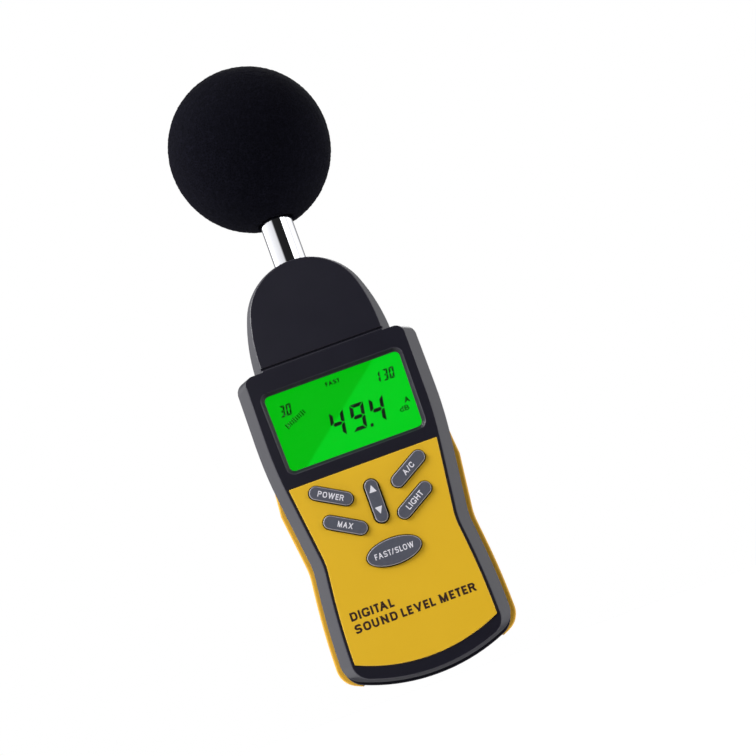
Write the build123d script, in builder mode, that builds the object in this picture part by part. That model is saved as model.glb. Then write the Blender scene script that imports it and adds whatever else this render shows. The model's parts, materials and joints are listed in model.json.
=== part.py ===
"""Handheld sound level meter with a foam windscreen, as separate named pieces.

Frame: origin at the mouth of the rear tripod bush, +Z along the long axis towards the
microphone, +Y out of the back, so the keys and the display face -Y. Millimetres.
Depths are counted from the back face towards the front, so a depth d lies at y = -d.
"""

import math
import os

from build123d import *

# ---------------------------------------------------------------- driving dimensions
# body, seen from the front
BODY_WIDTH = 70.0  # across the display
BODY_LENGTH = 121.8  # top edge to bottom edge, without the head
WAIST_INSET = 5.2  # each side, at the narrowest place
HIP_INSET = 3.0  # each side, at the lower end
SHOULDER_DROP = 34.8  # top edge to the corner where the sides start to draw in
HIP_RISE = 18.16  # bottom corner to the hip, where the sides turn in towards the waist
WAIST_RISE = 22.0  # hip to the waist
TOP_CORNER_RADIUS = 4.4
SMALLEST_TOP_CORNER = 3.4  # left of it where the outline is drawn in
SHOULDER_RADIUS = 160.0
WAIST_RADIUS = 25.0
HIP_RADIUS = 260.0
BOTTOM_RADIUS = 70.0
BOTTOM_CORNER_RADIUS = 8.0
SMALLEST_BOTTOM_CORNER = 1.0
WALL = 2.2
CUT_SPARE = 2.0  # how far a cut runs past the surface it opens
FRONT_DEPTH = 14.0  # front face to the parting plane
BEVEL_WIDTH = 4.2  # side bevel, seen from the front
BEVEL_DEPTH = 5.5
BOTTOM_BEVEL = 1.2
REAR_DROP = 1.4  # the rear shell's rim below the front shell
REAR_ROUND = 3.6
LIP_THICKNESS = 1.0
LIP_HEIGHT = 1.5
LIP_GAP = 0.1

# head, the dome that holds the microphone tube
HEAD_WIDTH = 53.4
HEAD_HEIGHT = 38.6  # body's top edge to the top of the dome
HEAD_TOP_RADIUS = 23.8
HEAD_SHOULDER_ANGLE = 20.0
HEAD_STEP = 1.1  # dome face behind the body's face
HEAD_TOP_WALL = 2.55
HEAD_BEVEL_START = 0.3  # straight side left under the dome's thin top edge
HEAD_ROUND = 2.4
HEAD_ROOT = 4.0  # how far the dome runs down into the body
GROOVE_RISE = 1.3
GROOVE_WIDTH = 0.8
GROOVE_DEPTH = 0.7

# display
WINDOW_SIDE_MARGIN = 4.55
WINDOW_TAPER = 0.85  # each side, narrower at the bottom
WINDOW_HEIGHT = 29.2
WINDOW_TOP_MARGIN = 8.9
WINDOW_CORNER = 2.0
WINDOW_BEVEL = 1.3
WINDOW_BEVEL_DEPTH = 1.4
LENS_OVERLAP = 1.4
LENS_THICKNESS = 1.2
LENS_GAP = 0.6
GLASS_THICKNESS = 1.1
GLASS_OVERLAP = 0.8
GLASS_LEDGE = 2.5
BACKLIGHT_THICKNESS = 3.0
STRIP_GAP = 0.25  # rubber strip to the rear glass and to the ledge's end
BOARD_GAP = 0.4
FRAME_WALL = 0.9
FRAME_CLEARANCE = 0.15

# yellow face panel
PANEL_DROP = 6.1  # window's bottom edge to the panel's top edge
PANEL_GAP = 1.2  # to the side bevel
PANEL_BOTTOM_MARGIN = 5.8
PANEL_THICKNESS = 1.2
PANEL_SEAT = 0.8
PANEL_CLEARANCE = 0.1
PANEL_ROUND = 0.3

# keys: centre x, centre below the panel's top edge, turn in degrees
KEY_PLACES = {
    "power_key": (-14.7, 7.2, -30.0),
    "max_key": (-13.3, 18.8, -30.0),
    "weighting_key": (14.7, 7.4, 30.0),
    "light_key": (13.0, 18.8, 30.0),
    "level_key": (0.0, 14.4, 90.0),
    "speed_key": (0.0, 33.3, 0.0),
}
KEY_LENGTH = 16.0
KEY_WIDTH = 4.8
SPEED_KEY_WIDTH = 20.2
SPEED_KEY_HEIGHT = 9.3
KEY_GAP = 0.3
ROCKER_GAP = 0.45
KEY_PROUD = 1.2
KEY_ROUND = 0.5
KEY_FLANGE = 0.8
KEY_FLANGE_THICKNESS = 0.8
KEY_FLANGE_GAP = 0.1
KEY_FOOT_INSET = 0.8
KEY_TRAVEL = 0.8
KEY_SPARE = 0.2
PILL_THICKNESS = 0.4
PILL_INSET = 0.5
MAT_THICKNESS = 1.0
MAT_SIDE = 10.0  # from the body's side
MAT_HOLE_GAP = 0.5
ROCKER_MAT_GAP = 1.3
ROCKER_PILL_SIZE = 3.0
ROCKER_PILL_SPACING = 10.4

# main board
BOARD_THICKNESS = 1.6
BOARD_GAP_SIDE = 0.8
BOARD_TOP_ROOM = 0.6
BOARD_TAIL = 4.0
BOARD_BOSS_RADIUS = 2.2
BOARD_SCREW_RADIUS = 0.95
BOARD_HOLE_RADIUS = 1.25
BOARD_SCREW_HEAD = 1.9
BOARD_HEAD_HEIGHT = 1.2
BOARD_SCREW_BITE = 4.2
BOARD_PILOT_DEPTH = 5.0
THREAD_CLEARANCE = 0.05
UPPER_BOARD_BOSS = (28.2, 1.9)  # x, below the panel's top edge
LOWER_BOARD_BOSS = (22.0, 38.2)

# battery, its compartment and its door
BATTERY_WIDTH = 26.5
BATTERY_DEPTH = 17.5
BATTERY_LENGTH = 46.1
BATTERY_EDGE = 2.0
TERMINAL_RADIUS = 2.7
TERMINAL_HEIGHT = 2.4
TERMINAL_SPACING = 12.7
BATTERY_GAP = 0.2
BATTERY_SIDE_GAP = 0.5
COMPARTMENT_TOP = -14.0
COMPARTMENT_LENGTH = 58.1
TRAY_WALL = 1.4
TRAY_GAP = 0.5
TRAY_START = 4.0
TRAY_END_GAP = 0.45  # tray to the bottom wall, at the tray's corners
SNAP_WIDTH = 24.0
SNAP_DEPTH = 11.0
SNAP_THICKNESS = 4.0
SNAP_CLEARANCE = 0.1
DOOR_WIDTH = 31.4
DOOR_GAP = 0.2
DOOR_END_DEPTH = 6.0
DOOR_RIDGES = 5
DOOR_RIDGE_PITCH = 2.2
DOOR_RIDGE_WIDTH = 1.0
DOOR_RIDGE_DEPTH = 0.5
DOOR_RIDGE_LENGTH = 14.0
DOOR_RIDGE_DROP = 8.0
TONGUE_WIDTH = 1.5
TONGUE_THICKNESS = 1.0
TONGUE_GAP = 0.3
PAD_THICKNESS = 0.8
PAD_WIDTH = 18.0
PAD_LENGTH = 34.0
PAD_CORNER = 1.5

# fasteners and tripod bush
SCREW_RADIUS = 1.1
PILOT_RADIUS = 1.15
SCREW_HOLE_RADIUS = 1.35
SCREW_HEAD_RADIUS = 2.1
SCREW_HEAD_HEIGHT = 1.6
COUNTERBORE_RADIUS = 2.4
COUNTERBORE_DEPTH = 5.0
SCREW_BITE = 7.0
PILOT_SPARE = 0.5
FRONT_BOSS_RADIUS = 2.4
REAR_BOSS_RADIUS = 3.2
UPPER_SCREW = (29.0, 4.6)  # x, below the top edge
LOWER_SCREW = (22.5, 13.9)  # x, above the bottom edge
RECESS_SIZE = 2.2
RECESS_WIDTH = 0.6
RECESS_DEPTH = 0.9
BUSH_RADIUS = 4.75
BUSH_LENGTH = 9.0
BUSH_THREAD_RADIUS = 3.175
BUSH_THREAD_DEPTH = 8.0
BUSH_CLEARANCE = 0.05
BUSH_BOSS_RADIUS = 7.0

# grips on the sides
GRIP_PROUD = 2.4
GRIP_BOTTOM = 0.5
GRIP_DROP = 41.7  # body's top edge to the grip's upper end
GRIP_FRONT_GAP = 0.5  # behind the parting plane
GRIP_DEPTH = 14.6
GRIP_INNER_X = 27.0
GRIP_RIB_PITCH = 6.2
GRIP_RIB_RADIUS = 1.0
GRIP_RIB_DEPTH = 0.45
GRIP_RIBS_BELOW_HIP = 3
GRIP_RIB_END = 11.0  # grip's upper end to the first rib groove
GRIP_RIB_MARGIN = 3.0  # plain edge left at both ends of a rib groove
GRIP_LEAD = 9.0  # over which the grip's upper end rises from the shell
GRIP_LEAD_THICKNESS = 0.5  # grip left at its very end

# microphone and windscreen
TUBE_RADIUS = 6.35  # half-inch microphone barrel
TUBE_WALL = 1.0
TUBE_ROOT_STEP = 0.15  # the root inside the dome is this much thinner, so that it pushes in
TUBE_CLEARANCE = 0.1
TUBE_ROOT = 18.5  # below the top of the dome
TUBE_PROUD = 39.5  # above the top of the dome
TUBE_SHOULDER_RISE = 0.5  # dome's top to where the full barrel starts
CAPSULE_LENGTH = 10.0
CAPSULE_SPIGOT = 4.0
SPIGOT_CLEARANCE = 0.05
GRID_HEIGHT = 3.5
GRID_WALL = 0.8
GRID_CHAMFER = 0.5
GRID_SLOTS = 8
GRID_SLOT_WIDTH = 0.9
GRID_SLOT_INNER = 1.4
GRID_SLOT_LENGTH = 3.3
SLEEVE_WALL = 0.95
SLEEVE_CLEARANCE = 0.05
SLEEVE_LENGTH = 8.5
SLEEVE_DROP = 14.0  # dome's top to the sleeve's lower end
RIB_THICKNESS = 1.6
RIB_PITCH = 4.2
PREAMP_WIDTH = 8.6
PREAMP_LENGTH = 30.0
PREAMP_THICKNESS = 1.0
BALL_RADIUS = 31.8
BALL_RISE = 50.3  # dome's top to the ball's centre
BALL_BORE_SPARE = 2.0
BALL_BORE_CLEARANCE = 0.05
BALL_MOUTH_ROUND = 1.2

# small parts on the board
TRIMMER_PLACE = (20.0, -2.0)
TRIMMER_SIZE = 6.8
TRIMMER_HEIGHT = 4.2
TRIMMER_WELL = 1.6
ROTOR_RADIUS = 1.6
ROTOR_CLEARANCE = 0.05
ROTOR_FLOOR_GAP = 0.1
ROTOR_SLOT = 0.6
TRIMMER_HOLE_RADIUS = 2.2
MCU_SIZE = 12.0
MCU_HEIGHT = 1.4
MCU_PLACE = (0.0, 18.0)
AMP_SIZE = (5.0, 4.0, 1.5)
AMP_PLACES = ((-14.0, 24.0), (-14.0, 16.0), (-14.0, 8.0))
CAPACITOR_RADIUS = 2.5
CAPACITOR_HEIGHT = 7.0
CAPACITOR_ROUND = 0.4
CAPACITOR_PLACES = ((13.0, 27.0), (20.0, 27.0), (20.0, 19.0))
LED_SIZE = (1.4, 3.0, 1.2)
LABEL_WIDTH = 38.0
LABEL_HEIGHT = 18.0
LABEL_THICKNESS = 0.3
LABEL_CORNER = 1.5
LABEL_RISE = 12.0  # bush to the label's lower edge
LEAD_RADIUS = 0.6

# ---------------------------------------------------------------- worked-out places
board_front_from_face = (
    WALL + LENS_THICKNESS + LENS_GAP + 2 * GLASS_THICKNESS + BACKLIGHT_THICKNESS + BOARD_GAP
)
battery_back = WALL + PAD_THICKNESS + BATTERY_GAP
tray_floor = battery_back + BATTERY_DEPTH + BATTERY_GAP
board_back = tray_floor + TRAY_WALL + TRAY_GAP
board_front = board_back + BOARD_THICKNESS
body_depth = board_front + board_front_from_face
parting = body_depth - FRONT_DEPTH
bevel_start = body_depth - BEVEL_DEPTH
front_inside = body_depth - WALL
lens_back = front_inside - LENS_THICKNESS
glass_front = lens_back - LENS_GAP
rear_glass_front = glass_front - GLASS_THICKNESS
backlight_front = rear_glass_front - GLASS_THICKNESS
backlight_back = backlight_front - BACKLIGHT_THICKNESS
panel_seat = body_depth - PANEL_SEAT
panel_face = panel_seat + PANEL_THICKNESS

compartment_bottom = COMPARTMENT_TOP - COMPARTMENT_LENGTH
battery_half = BATTERY_WIDTH / 2 + BATTERY_SIDE_GAP
inner_arc = BOTTOM_RADIUS - WALL
arc_rise = inner_arc - math.sqrt(inner_arc**2 - (battery_half + TRAY_WALL) ** 2)
bottom_z = compartment_bottom - TRAY_WALL - TRAY_END_GAP - arc_rise - WALL
top_z = bottom_z + BODY_LENGTH
shoulder_z = top_z - SHOULDER_DROP
bottom_half = BODY_WIDTH / 2 - HIP_INSET
side_end_z = bottom_z + BOTTOM_RADIUS - math.sqrt(BOTTOM_RADIUS**2 - bottom_half**2)
hip_z = side_end_z + HIP_RISE
waist_z = hip_z + WAIST_RISE
head_top_z = top_z + HEAD_HEIGHT
window_top_z = top_z - WINDOW_TOP_MARGIN
window_bottom_z = window_top_z - WINDOW_HEIGHT
window_half = BODY_WIDTH / 2 - BEVEL_WIDTH - WINDOW_SIDE_MARGIN
panel_top_z = window_bottom_z - PANEL_DROP
grip_top_z = top_z - GRIP_DROP
ball_z = head_top_z + BALL_RISE
tube_bottom_z = head_top_z - TUBE_ROOT
tube_top_z = head_top_z + TUBE_PROUD
capsule_top_z = tube_top_z + CAPSULE_LENGTH
grid_top_z = capsule_top_z + GRID_HEIGHT

tube_bore = TUBE_RADIUS - TUBE_WALL
root_radius = TUBE_RADIUS - TUBE_ROOT_STEP
sleeve_bore = root_radius + SLEEVE_CLEARANCE
sleeve_radius = sleeve_bore + SLEEVE_WALL

bevel_slant = math.hypot(BEVEL_WIDTH, BEVEL_DEPTH)
bevel_slope = BEVEL_WIDTH / BEVEL_DEPTH
# a wall of even thickness starts its inner bevel this much further back
inner_bevel_shift = WALL * (BEVEL_DEPTH - bevel_slant) / BEVEL_WIDTH
inner_bevel_start = bevel_start + inner_bevel_shift
inner_bevel_width = (front_inside - inner_bevel_start) * bevel_slope

head_face_base = body_depth - HEAD_STEP
head_face_top = parting + TUBE_RADIUS + HEAD_TOP_WALL
head_back_top = parting - TUBE_RADIUS - HEAD_TOP_WALL
head_bevel_start = head_face_top - HEAD_BEVEL_START
head_bevel_depth = head_face_base - head_bevel_start + BEVEL_WIDTH


def at_depth(depth: float) -> Plane:
    """A sketch plane that faces the front, at a depth counted from the back face."""
    return Plane.XZ.offset(depth)


def level(z: float, depth: float = 0.0) -> Plane:
    """A sketch plane that faces up, with its origin on the centreline at a depth."""
    return Plane((0, -depth, z), x_dir=(1, 0, 0), z_dir=(0, 0, 1))


# ---------------------------------------------------------------- outlines
def body_outline(side: float, top: float, bottom: float, corner: float) -> Sketch:
    """The body's outline, drawn in by a distance at the sides, the top and the bottom."""
    half = BODY_WIDTH / 2 - side
    waist = half - WAIST_INSET
    hip = half - HIP_INSET
    upper = top_z - top
    lower = bottom_z + bottom
    radius = BOTTOM_RADIUS - bottom
    corner_z = lower + radius - math.sqrt(radius**2 - hip**2)
    # the hip's bend ends before the rounded bottom corner starts
    corner_reach = corner * math.tan(math.acos(hip / radius) / 2)
    hip_turn = math.atan2(WAIST_INSET - HIP_INSET, WAIST_RISE)
    hip_radius = min(HIP_RADIUS, (hip_z - corner_z - corner_reach) / math.tan(hip_turn / 2))
    right = [(half, upper), (half, shoulder_z), (waist, waist_z), (hip, hip_z), (hip, corner_z)]
    left = [(-x, z) for x, z in reversed(right)]
    top_radius = max(TOP_CORNER_RADIUS - max(side, top), SMALLEST_TOP_CORNER)
    bends = [SHOULDER_RADIUS, WAIST_RADIUS, hip_radius]
    radii = bends[::-1] + [top_radius, top_radius] + bends
    with BuildSketch() as outline:
        with BuildLine():
            FilletPolyline(*left, *right, radius=radii)
            ThreePointArc(right[-1], (0, lower), left[0])
        make_face()
        fillet(outline.vertices().group_by(Axis.Y)[0], radius=corner)
    return outline.sketch


def head_outline(inset: float) -> Sketch:
    """The dome's outline, drawn in by a distance, with its root inside the body."""
    centre_z = head_top_z - HEAD_TOP_RADIUS
    radius = HEAD_TOP_RADIUS - inset
    angle = math.radians(HEAD_SHOULDER_ANGLE)
    shoulder = (radius * math.cos(angle), centre_z + radius * math.sin(angle))
    root = (HEAD_WIDTH / 2 - inset, top_z - HEAD_ROOT)
    with BuildSketch() as outline:
        with BuildLine():
            crown = ThreePointArc((-shoulder[0], shoulder[1]), (0, centre_z + radius), shoulder)
            right = TangentArc(shoulder, root, tangent=crown % 1)
            left = mirror(right, about=Plane.YZ)
            Line(right @ 1, left @ 1)
        make_face()
    return outline.sketch


def shell_outline(inset: float) -> Sketch:
    """The whole outline at the parting plane, body and dome together."""
    corner = max(BOTTOM_CORNER_RADIUS - inset, SMALLEST_BOTTOM_CORNER)
    with BuildSketch() as outline:
        add(body_outline(inset, inset, inset, corner))
        add(head_outline(inset))
    return outline.sketch


def window_outline(grow: float) -> Sketch:
    """The display window, a little narrower at its bottom edge."""
    half_top = window_half + grow
    half_bottom = half_top - WINDOW_TAPER
    upper = window_top_z + grow
    lower = window_bottom_z - grow
    with BuildSketch() as outline:
        with BuildLine():
            Polyline(
                (-half_top, upper), (half_top, upper), (half_bottom, lower), (-half_bottom, lower),
                close=True,
            )
        make_face()
        fillet(outline.vertices(), radius=WINDOW_CORNER + grow)
    return outline.sketch


def panel_outline(grow: float) -> Sketch:
    """The yellow panel: the face's outline drawn in, cut straight across at its top."""
    side = BEVEL_WIDTH + PANEL_GAP - grow
    bottom = PANEL_BOTTOM_MARGIN - grow
    with BuildSketch() as outline:
        add(body_outline(side, 0, bottom, PANEL_ROUND))
        with Locations((0, panel_top_z + grow)):
            Rectangle(
                BODY_WIDTH, BODY_LENGTH, align=(Align.CENTER, Align.MAX), mode=Mode.INTERSECT
            )
    return outline.sketch


def key_outline(name: str, grow: float) -> Sketch:
    """One key's outline, grown by a distance."""
    x, drop, turn = KEY_PLACES[name]
    with BuildSketch() as outline:
        with Locations((x, panel_top_z - drop)):
            if name == "speed_key":
                Ellipse(SPEED_KEY_WIDTH / 2 + grow, SPEED_KEY_HEIGHT / 2 + grow)
            else:
                SlotOverall(KEY_LENGTH + 2 * grow, KEY_WIDTH + 2 * grow, rotation=turn)
    return outline.sketch


def all_keys(grow: float, rocker_grow: float) -> Sketch:
    """Every key's outline in one sketch, with the rocker grown by its own distance."""
    with BuildSketch() as outline:
        for name in KEY_PLACES:
            add(key_outline(name, rocker_grow if name == "level_key" else grow))
    return outline.sketch


def save(part: Part, name: str) -> None:
    """Label a finished piece and write it as its own STEP file."""
    part.label = name
    export_step(part, f"parts/{name}.step")


os.makedirs("parts", exist_ok=True)

outer = body_outline(0, 0, 0, BOTTOM_CORNER_RADIUS)
face = body_outline(BEVEL_WIDTH, 0, BOTTOM_BEVEL, BOTTOM_CORNER_RADIUS - BOTTOM_BEVEL)
inner = body_outline(WALL, WALL, WALL, BOTTOM_CORNER_RADIUS - WALL)
inner_face = body_outline(
    WALL + inner_bevel_width, WALL, WALL + BOTTOM_BEVEL, BOTTOM_CORNER_RADIUS - WALL
)
rear_outer = body_outline(0, 0, -REAR_DROP, BOTTOM_CORNER_RADIUS)
lip_outer = shell_outline(WALL - LIP_THICKNESS)
lip_inner = shell_outline(WALL)
rebate = shell_outline(WALL - LIP_THICKNESS - LIP_GAP)

upper_screws = [(x * UPPER_SCREW[0], top_z - UPPER_SCREW[1]) for x in (-1, 1)]
lower_screws = [(x * LOWER_SCREW[0], bottom_z + LOWER_SCREW[1]) for x in (-1, 1)]
case_screw_places = upper_screws + lower_screws
board_screw_places = [
    (x * boss[0], panel_top_z - boss[1]) for boss in (UPPER_BOARD_BOSS, LOWER_BOARD_BOSS) for x in (-1, 1)
]


def leaning_plane(base_depth: float, top_depth: float, shift: float, facing: int) -> Plane:
    """A plane across the dome from its base to its top; shift moves it into the dome."""
    rise = head_top_z - top_z
    run = top_depth - base_depth
    length = math.hypot(rise, run)
    normal = Vector(0, -rise / length * facing, run / length * -facing)
    return Plane(Vector(0, -base_depth, top_z) - normal * shift, x_dir=(1, 0, 0), z_dir=normal)


head_front_plane = leaning_plane(head_face_base, head_face_top, 0, 1)
head_front_inside = leaning_plane(head_face_base, head_face_top, WALL, 1)
head_back_plane = leaning_plane(0, head_back_top, 0, -1)
head_back_inside = leaning_plane(0, head_back_top, WALL, -1)

# ---------------------------------------------------------------- dome blocks
# the dome's front half: straight sides, then a bevel that dies out towards the thin top
with BuildPart() as head_front:
    with BuildSketch(at_depth(parting)):
        add(head_outline(0))
    extrude(amount=head_bevel_start - parting)
    with BuildSketch(at_depth(head_bevel_start)):
        add(head_outline(0))
    with BuildSketch(at_depth(head_bevel_start + head_bevel_depth)):
        add(head_outline(head_bevel_depth * bevel_slope))
    loft(ruled=True)
    split(bisect_by=head_front_plane, keep=Keep.BOTTOM)

# the hollow inside it, kept at the wall's distance
inner_head_start = head_bevel_start + inner_bevel_shift
with BuildPart() as head_front_hollow:
    with BuildSketch(at_depth(parting)):
        add(head_outline(WALL))
    extrude(amount=inner_head_start - parting)
    with BuildSketch(at_depth(inner_head_start)):
        add(head_outline(WALL))
    with BuildSketch(at_depth(inner_head_start + head_bevel_depth)):
        add(head_outline(WALL + head_bevel_depth * bevel_slope))
    loft(ruled=True)
    split(bisect_by=head_front_inside, keep=Keep.BOTTOM)

with BuildPart() as head_back:
    with BuildSketch(at_depth(0)):
        add(head_outline(0))
    extrude(amount=parting)
    split(bisect_by=head_back_plane, keep=Keep.BOTTOM)
    slope_face = head_back.faces().sort_by(Axis.Y)[-1]
    fillet(slope_face.edges().sort_by(Axis.Z)[1:], radius=HEAD_ROUND)

with BuildPart() as head_back_hollow:
    with BuildSketch(at_depth(WALL)):
        add(head_outline(WALL))
    extrude(amount=parting - WALL)
    split(bisect_by=head_back_inside, keep=Keep.BOTTOM)

# half-round ribs that hold the microphone's sleeve, cut to the dome's hollow
rib_levels = [head_top_z - SLEEVE_DROP + RIB_THICKNESS + k * RIB_PITCH for k in range(2)]
with BuildPart() as sleeve_ribs:
    for rib_z in rib_levels:
        with BuildSketch(level(rib_z, parting)):
            Rectangle(HEAD_WIDTH, 2 * body_depth)
            Circle(sleeve_radius + SLEEVE_CLEARANCE, mode=Mode.SUBTRACT)
        extrude(amount=RIB_THICKNESS)

# ---------------------------------------------------------------- front shell
with BuildPart() as front_shell:
    with BuildSketch(at_depth(parting)):
        add(outer)
    extrude(amount=bevel_start - parting)
    with BuildSketch(at_depth(bevel_start)):
        add(outer)
    with BuildSketch(at_depth(body_depth)):
        add(face)
    loft(ruled=True)
    add(head_front.part)
    # hollow
    with BuildSketch(at_depth(parting)):
        add(inner)
    extrude(amount=inner_bevel_start - parting, mode=Mode.SUBTRACT)
    with BuildSketch(at_depth(inner_bevel_start)):
        add(inner)
    with BuildSketch(at_depth(front_inside)):
        add(inner_face)
    loft(ruled=True, mode=Mode.SUBTRACT)
    add(head_front_hollow.part, mode=Mode.SUBTRACT)
    # rebate for the rear shell's lip
    with BuildSketch(at_depth(parting)):
        add(rebate)
    extrude(amount=LIP_HEIGHT + LIP_GAP, mode=Mode.SUBTRACT)
    # bosses for the case screws and for the board
    with BuildSketch(at_depth(parting)):
        with Locations(*case_screw_places):
            Circle(FRONT_BOSS_RADIUS)
    extrude(amount=front_inside - parting)
    with BuildSketch(at_depth(board_front)):
        with Locations(*board_screw_places):
            Circle(BOARD_BOSS_RADIUS)
    extrude(amount=front_inside - board_front)
    with BuildSketch(at_depth(parting)):
        with Locations(*case_screw_places):
            Circle(PILOT_RADIUS)
    extrude(amount=SCREW_BITE + PILOT_SPARE, mode=Mode.SUBTRACT)
    with BuildSketch(at_depth(board_front)):
        with Locations(*board_screw_places):
            Circle(BOARD_SCREW_RADIUS)
    extrude(amount=BOARD_PILOT_DEPTH, mode=Mode.SUBTRACT)
    # groove across the root of the dome
    with BuildSketch(at_depth(head_face_base - GROOVE_DEPTH)):
        with Locations((0, top_z + GROOVE_RISE)):
            Rectangle(BODY_WIDTH, GROOVE_WIDTH)
    extrude(amount=GROOVE_DEPTH + CUT_SPARE, mode=Mode.SUBTRACT)
    # window, with a bevel round it
    with BuildSketch(at_depth(front_inside)):
        add(window_outline(0))
    extrude(amount=WALL, mode=Mode.SUBTRACT)
    with BuildSketch(at_depth(body_depth - WINDOW_BEVEL_DEPTH)):
        add(window_outline(0))
    with BuildSketch(at_depth(body_depth)):
        add(window_outline(WINDOW_BEVEL))
    loft(ruled=True, mode=Mode.SUBTRACT)
    # seat for the panel, and the key openings
    with BuildSketch(at_depth(panel_seat)):
        add(panel_outline(PANEL_CLEARANCE))
    extrude(amount=WALL, mode=Mode.SUBTRACT)
    with BuildSketch(at_depth(front_inside)):
        add(all_keys(KEY_GAP, ROCKER_GAP))
    extrude(amount=WALL, mode=Mode.SUBTRACT)
    # ribs round the microphone's sleeve, and the hole for its tube
    add(sleeve_ribs.part & head_front_hollow.part)
    with BuildSketch(level(tube_bottom_z, parting)):
        Circle(root_radius + TUBE_CLEARANCE)
    extrude(amount=TUBE_ROOT + WALL, mode=Mode.SUBTRACT)
save(front_shell.part, "front_shell")

# ---------------------------------------------------------------- rear shell and battery door
with BuildPart() as rear_hollow:
    with BuildSketch(at_depth(0)):
        add(rear_outer)
    extrude(amount=parting)
    fillet(rear_hollow.faces().sort_by(Axis.Y)[-1].edges(), radius=REAR_ROUND)
    add(head_back.part)
    with BuildSketch(at_depth(WALL)):
        add(inner)
    extrude(amount=parting - WALL, mode=Mode.SUBTRACT)
    add(head_back_hollow.part, mode=Mode.SUBTRACT)

door_top_z = COMPARTMENT_TOP + TRAY_WALL
door_cut_length = door_top_z - bottom_z + REAR_DROP + CUT_SPARE
tongue_depth = WALL + TONGUE_GAP
tongue_length = COMPARTMENT_LENGTH - 2 * TONGUE_THICKNESS


def door_block(shrink: float) -> Part:
    """The block that parts the door from the rear shell, open at the bottom end."""
    with BuildPart() as block:
        with BuildSketch(at_depth(-WALL)):
            with Locations((0, door_top_z - shrink)):
                Rectangle(
                    DOOR_WIDTH - 2 * shrink, door_cut_length, align=(Align.CENTER, Align.MAX)
                )
        extrude(amount=WALL + DOOR_END_DEPTH - shrink)
    return block.part


tray_size = (2 * (battery_half + TRAY_WALL), COMPARTMENT_LENGTH + 2 * TRAY_WALL)
tray_middle = (0, COMPARTMENT_TOP - COMPARTMENT_LENGTH / 2)
door_cut = door_block(0)
door_core = door_block(DOOR_GAP)

with BuildPart() as rear_shell:
    add(rear_hollow.part)
    # lip that locates the front shell
    with BuildSketch(at_depth(parting)):
        add(lip_outer)
        add(lip_inner, mode=Mode.SUBTRACT)
    extrude(amount=LIP_HEIGHT)
    # bosses for the case screws and the tripod bush
    with BuildSketch(at_depth(WALL)):
        with Locations(*case_screw_places):
            Circle(REAR_BOSS_RADIUS)
        add(shell_outline(WALL - SCREW_RADIUS), mode=Mode.INTERSECT)
    extrude(amount=parting - WALL)
    with BuildSketch(at_depth(WALL)):
        Circle(BUSH_BOSS_RADIUS)
    extrude(amount=BUSH_LENGTH)
    # battery tray
    with BuildSketch(at_depth(TRAY_START)):
        with Locations(tray_middle):
            Rectangle(*tray_size)
            Rectangle(2 * battery_half, COMPARTMENT_LENGTH, mode=Mode.SUBTRACT)
    extrude(amount=tray_floor + TRAY_WALL - TRAY_START)
    with BuildSketch(at_depth(tray_floor)):
        with Locations(tray_middle):
            Rectangle(*tray_size)
    extrude(amount=TRAY_WALL)
    # notch that lets the battery leads through to the board
    with BuildSketch(at_depth(TRAY_START)):
        with Locations((0, COMPARTMENT_TOP + TRAY_WALL / 2)):
            Rectangle(TERMINAL_SPACING, 2 * TRAY_WALL)
    extrude(amount=tray_floor - TRAY_START, mode=Mode.SUBTRACT)
    # battery opening with slots for the door's tongues
    add(door_cut, mode=Mode.SUBTRACT)
    with BuildSketch(at_depth(WALL)):
        with Locations((0, COMPARTMENT_TOP)):
            Rectangle(
                DOOR_WIDTH + 2 * (TONGUE_WIDTH + TONGUE_GAP), door_cut_length,
                align=(Align.CENTER, Align.MAX),
            )
    extrude(amount=TONGUE_THICKNESS + 2 * TONGUE_GAP, mode=Mode.SUBTRACT)
    # screw holes, the bush's bore, the trimmer's hole and the label's recess
    with BuildSketch(at_depth(0)):
        with Locations(*case_screw_places):
            Circle(SCREW_HOLE_RADIUS)
        with Locations(TRIMMER_PLACE):
            Circle(TRIMMER_HOLE_RADIUS)
    extrude(amount=parting, mode=Mode.SUBTRACT)
    with BuildSketch(at_depth(0)):
        with Locations(*case_screw_places):
            Circle(COUNTERBORE_RADIUS)
    extrude(amount=COUNTERBORE_DEPTH, mode=Mode.SUBTRACT)
    with BuildSketch(at_depth(0)):
        Circle(BUSH_RADIUS + BUSH_CLEARANCE)
    extrude(amount=BUSH_LENGTH, mode=Mode.SUBTRACT)
    with BuildSketch(at_depth(0)):
        with Locations((0, LABEL_RISE + LABEL_HEIGHT / 2)):
            RectangleRounded(LABEL_WIDTH, LABEL_HEIGHT, LABEL_CORNER)
    extrude(amount=LABEL_THICKNESS, mode=Mode.SUBTRACT)
    # ribs round the microphone's sleeve, and the hole for its tube
    add(sleeve_ribs.part & head_back_hollow.part)
    with BuildSketch(level(tube_bottom_z, parting)):
        Circle(root_radius + TUBE_CLEARANCE)
    extrude(amount=TUBE_ROOT + WALL, mode=Mode.SUBTRACT)
save(rear_shell.part, "rear_shell")

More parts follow.
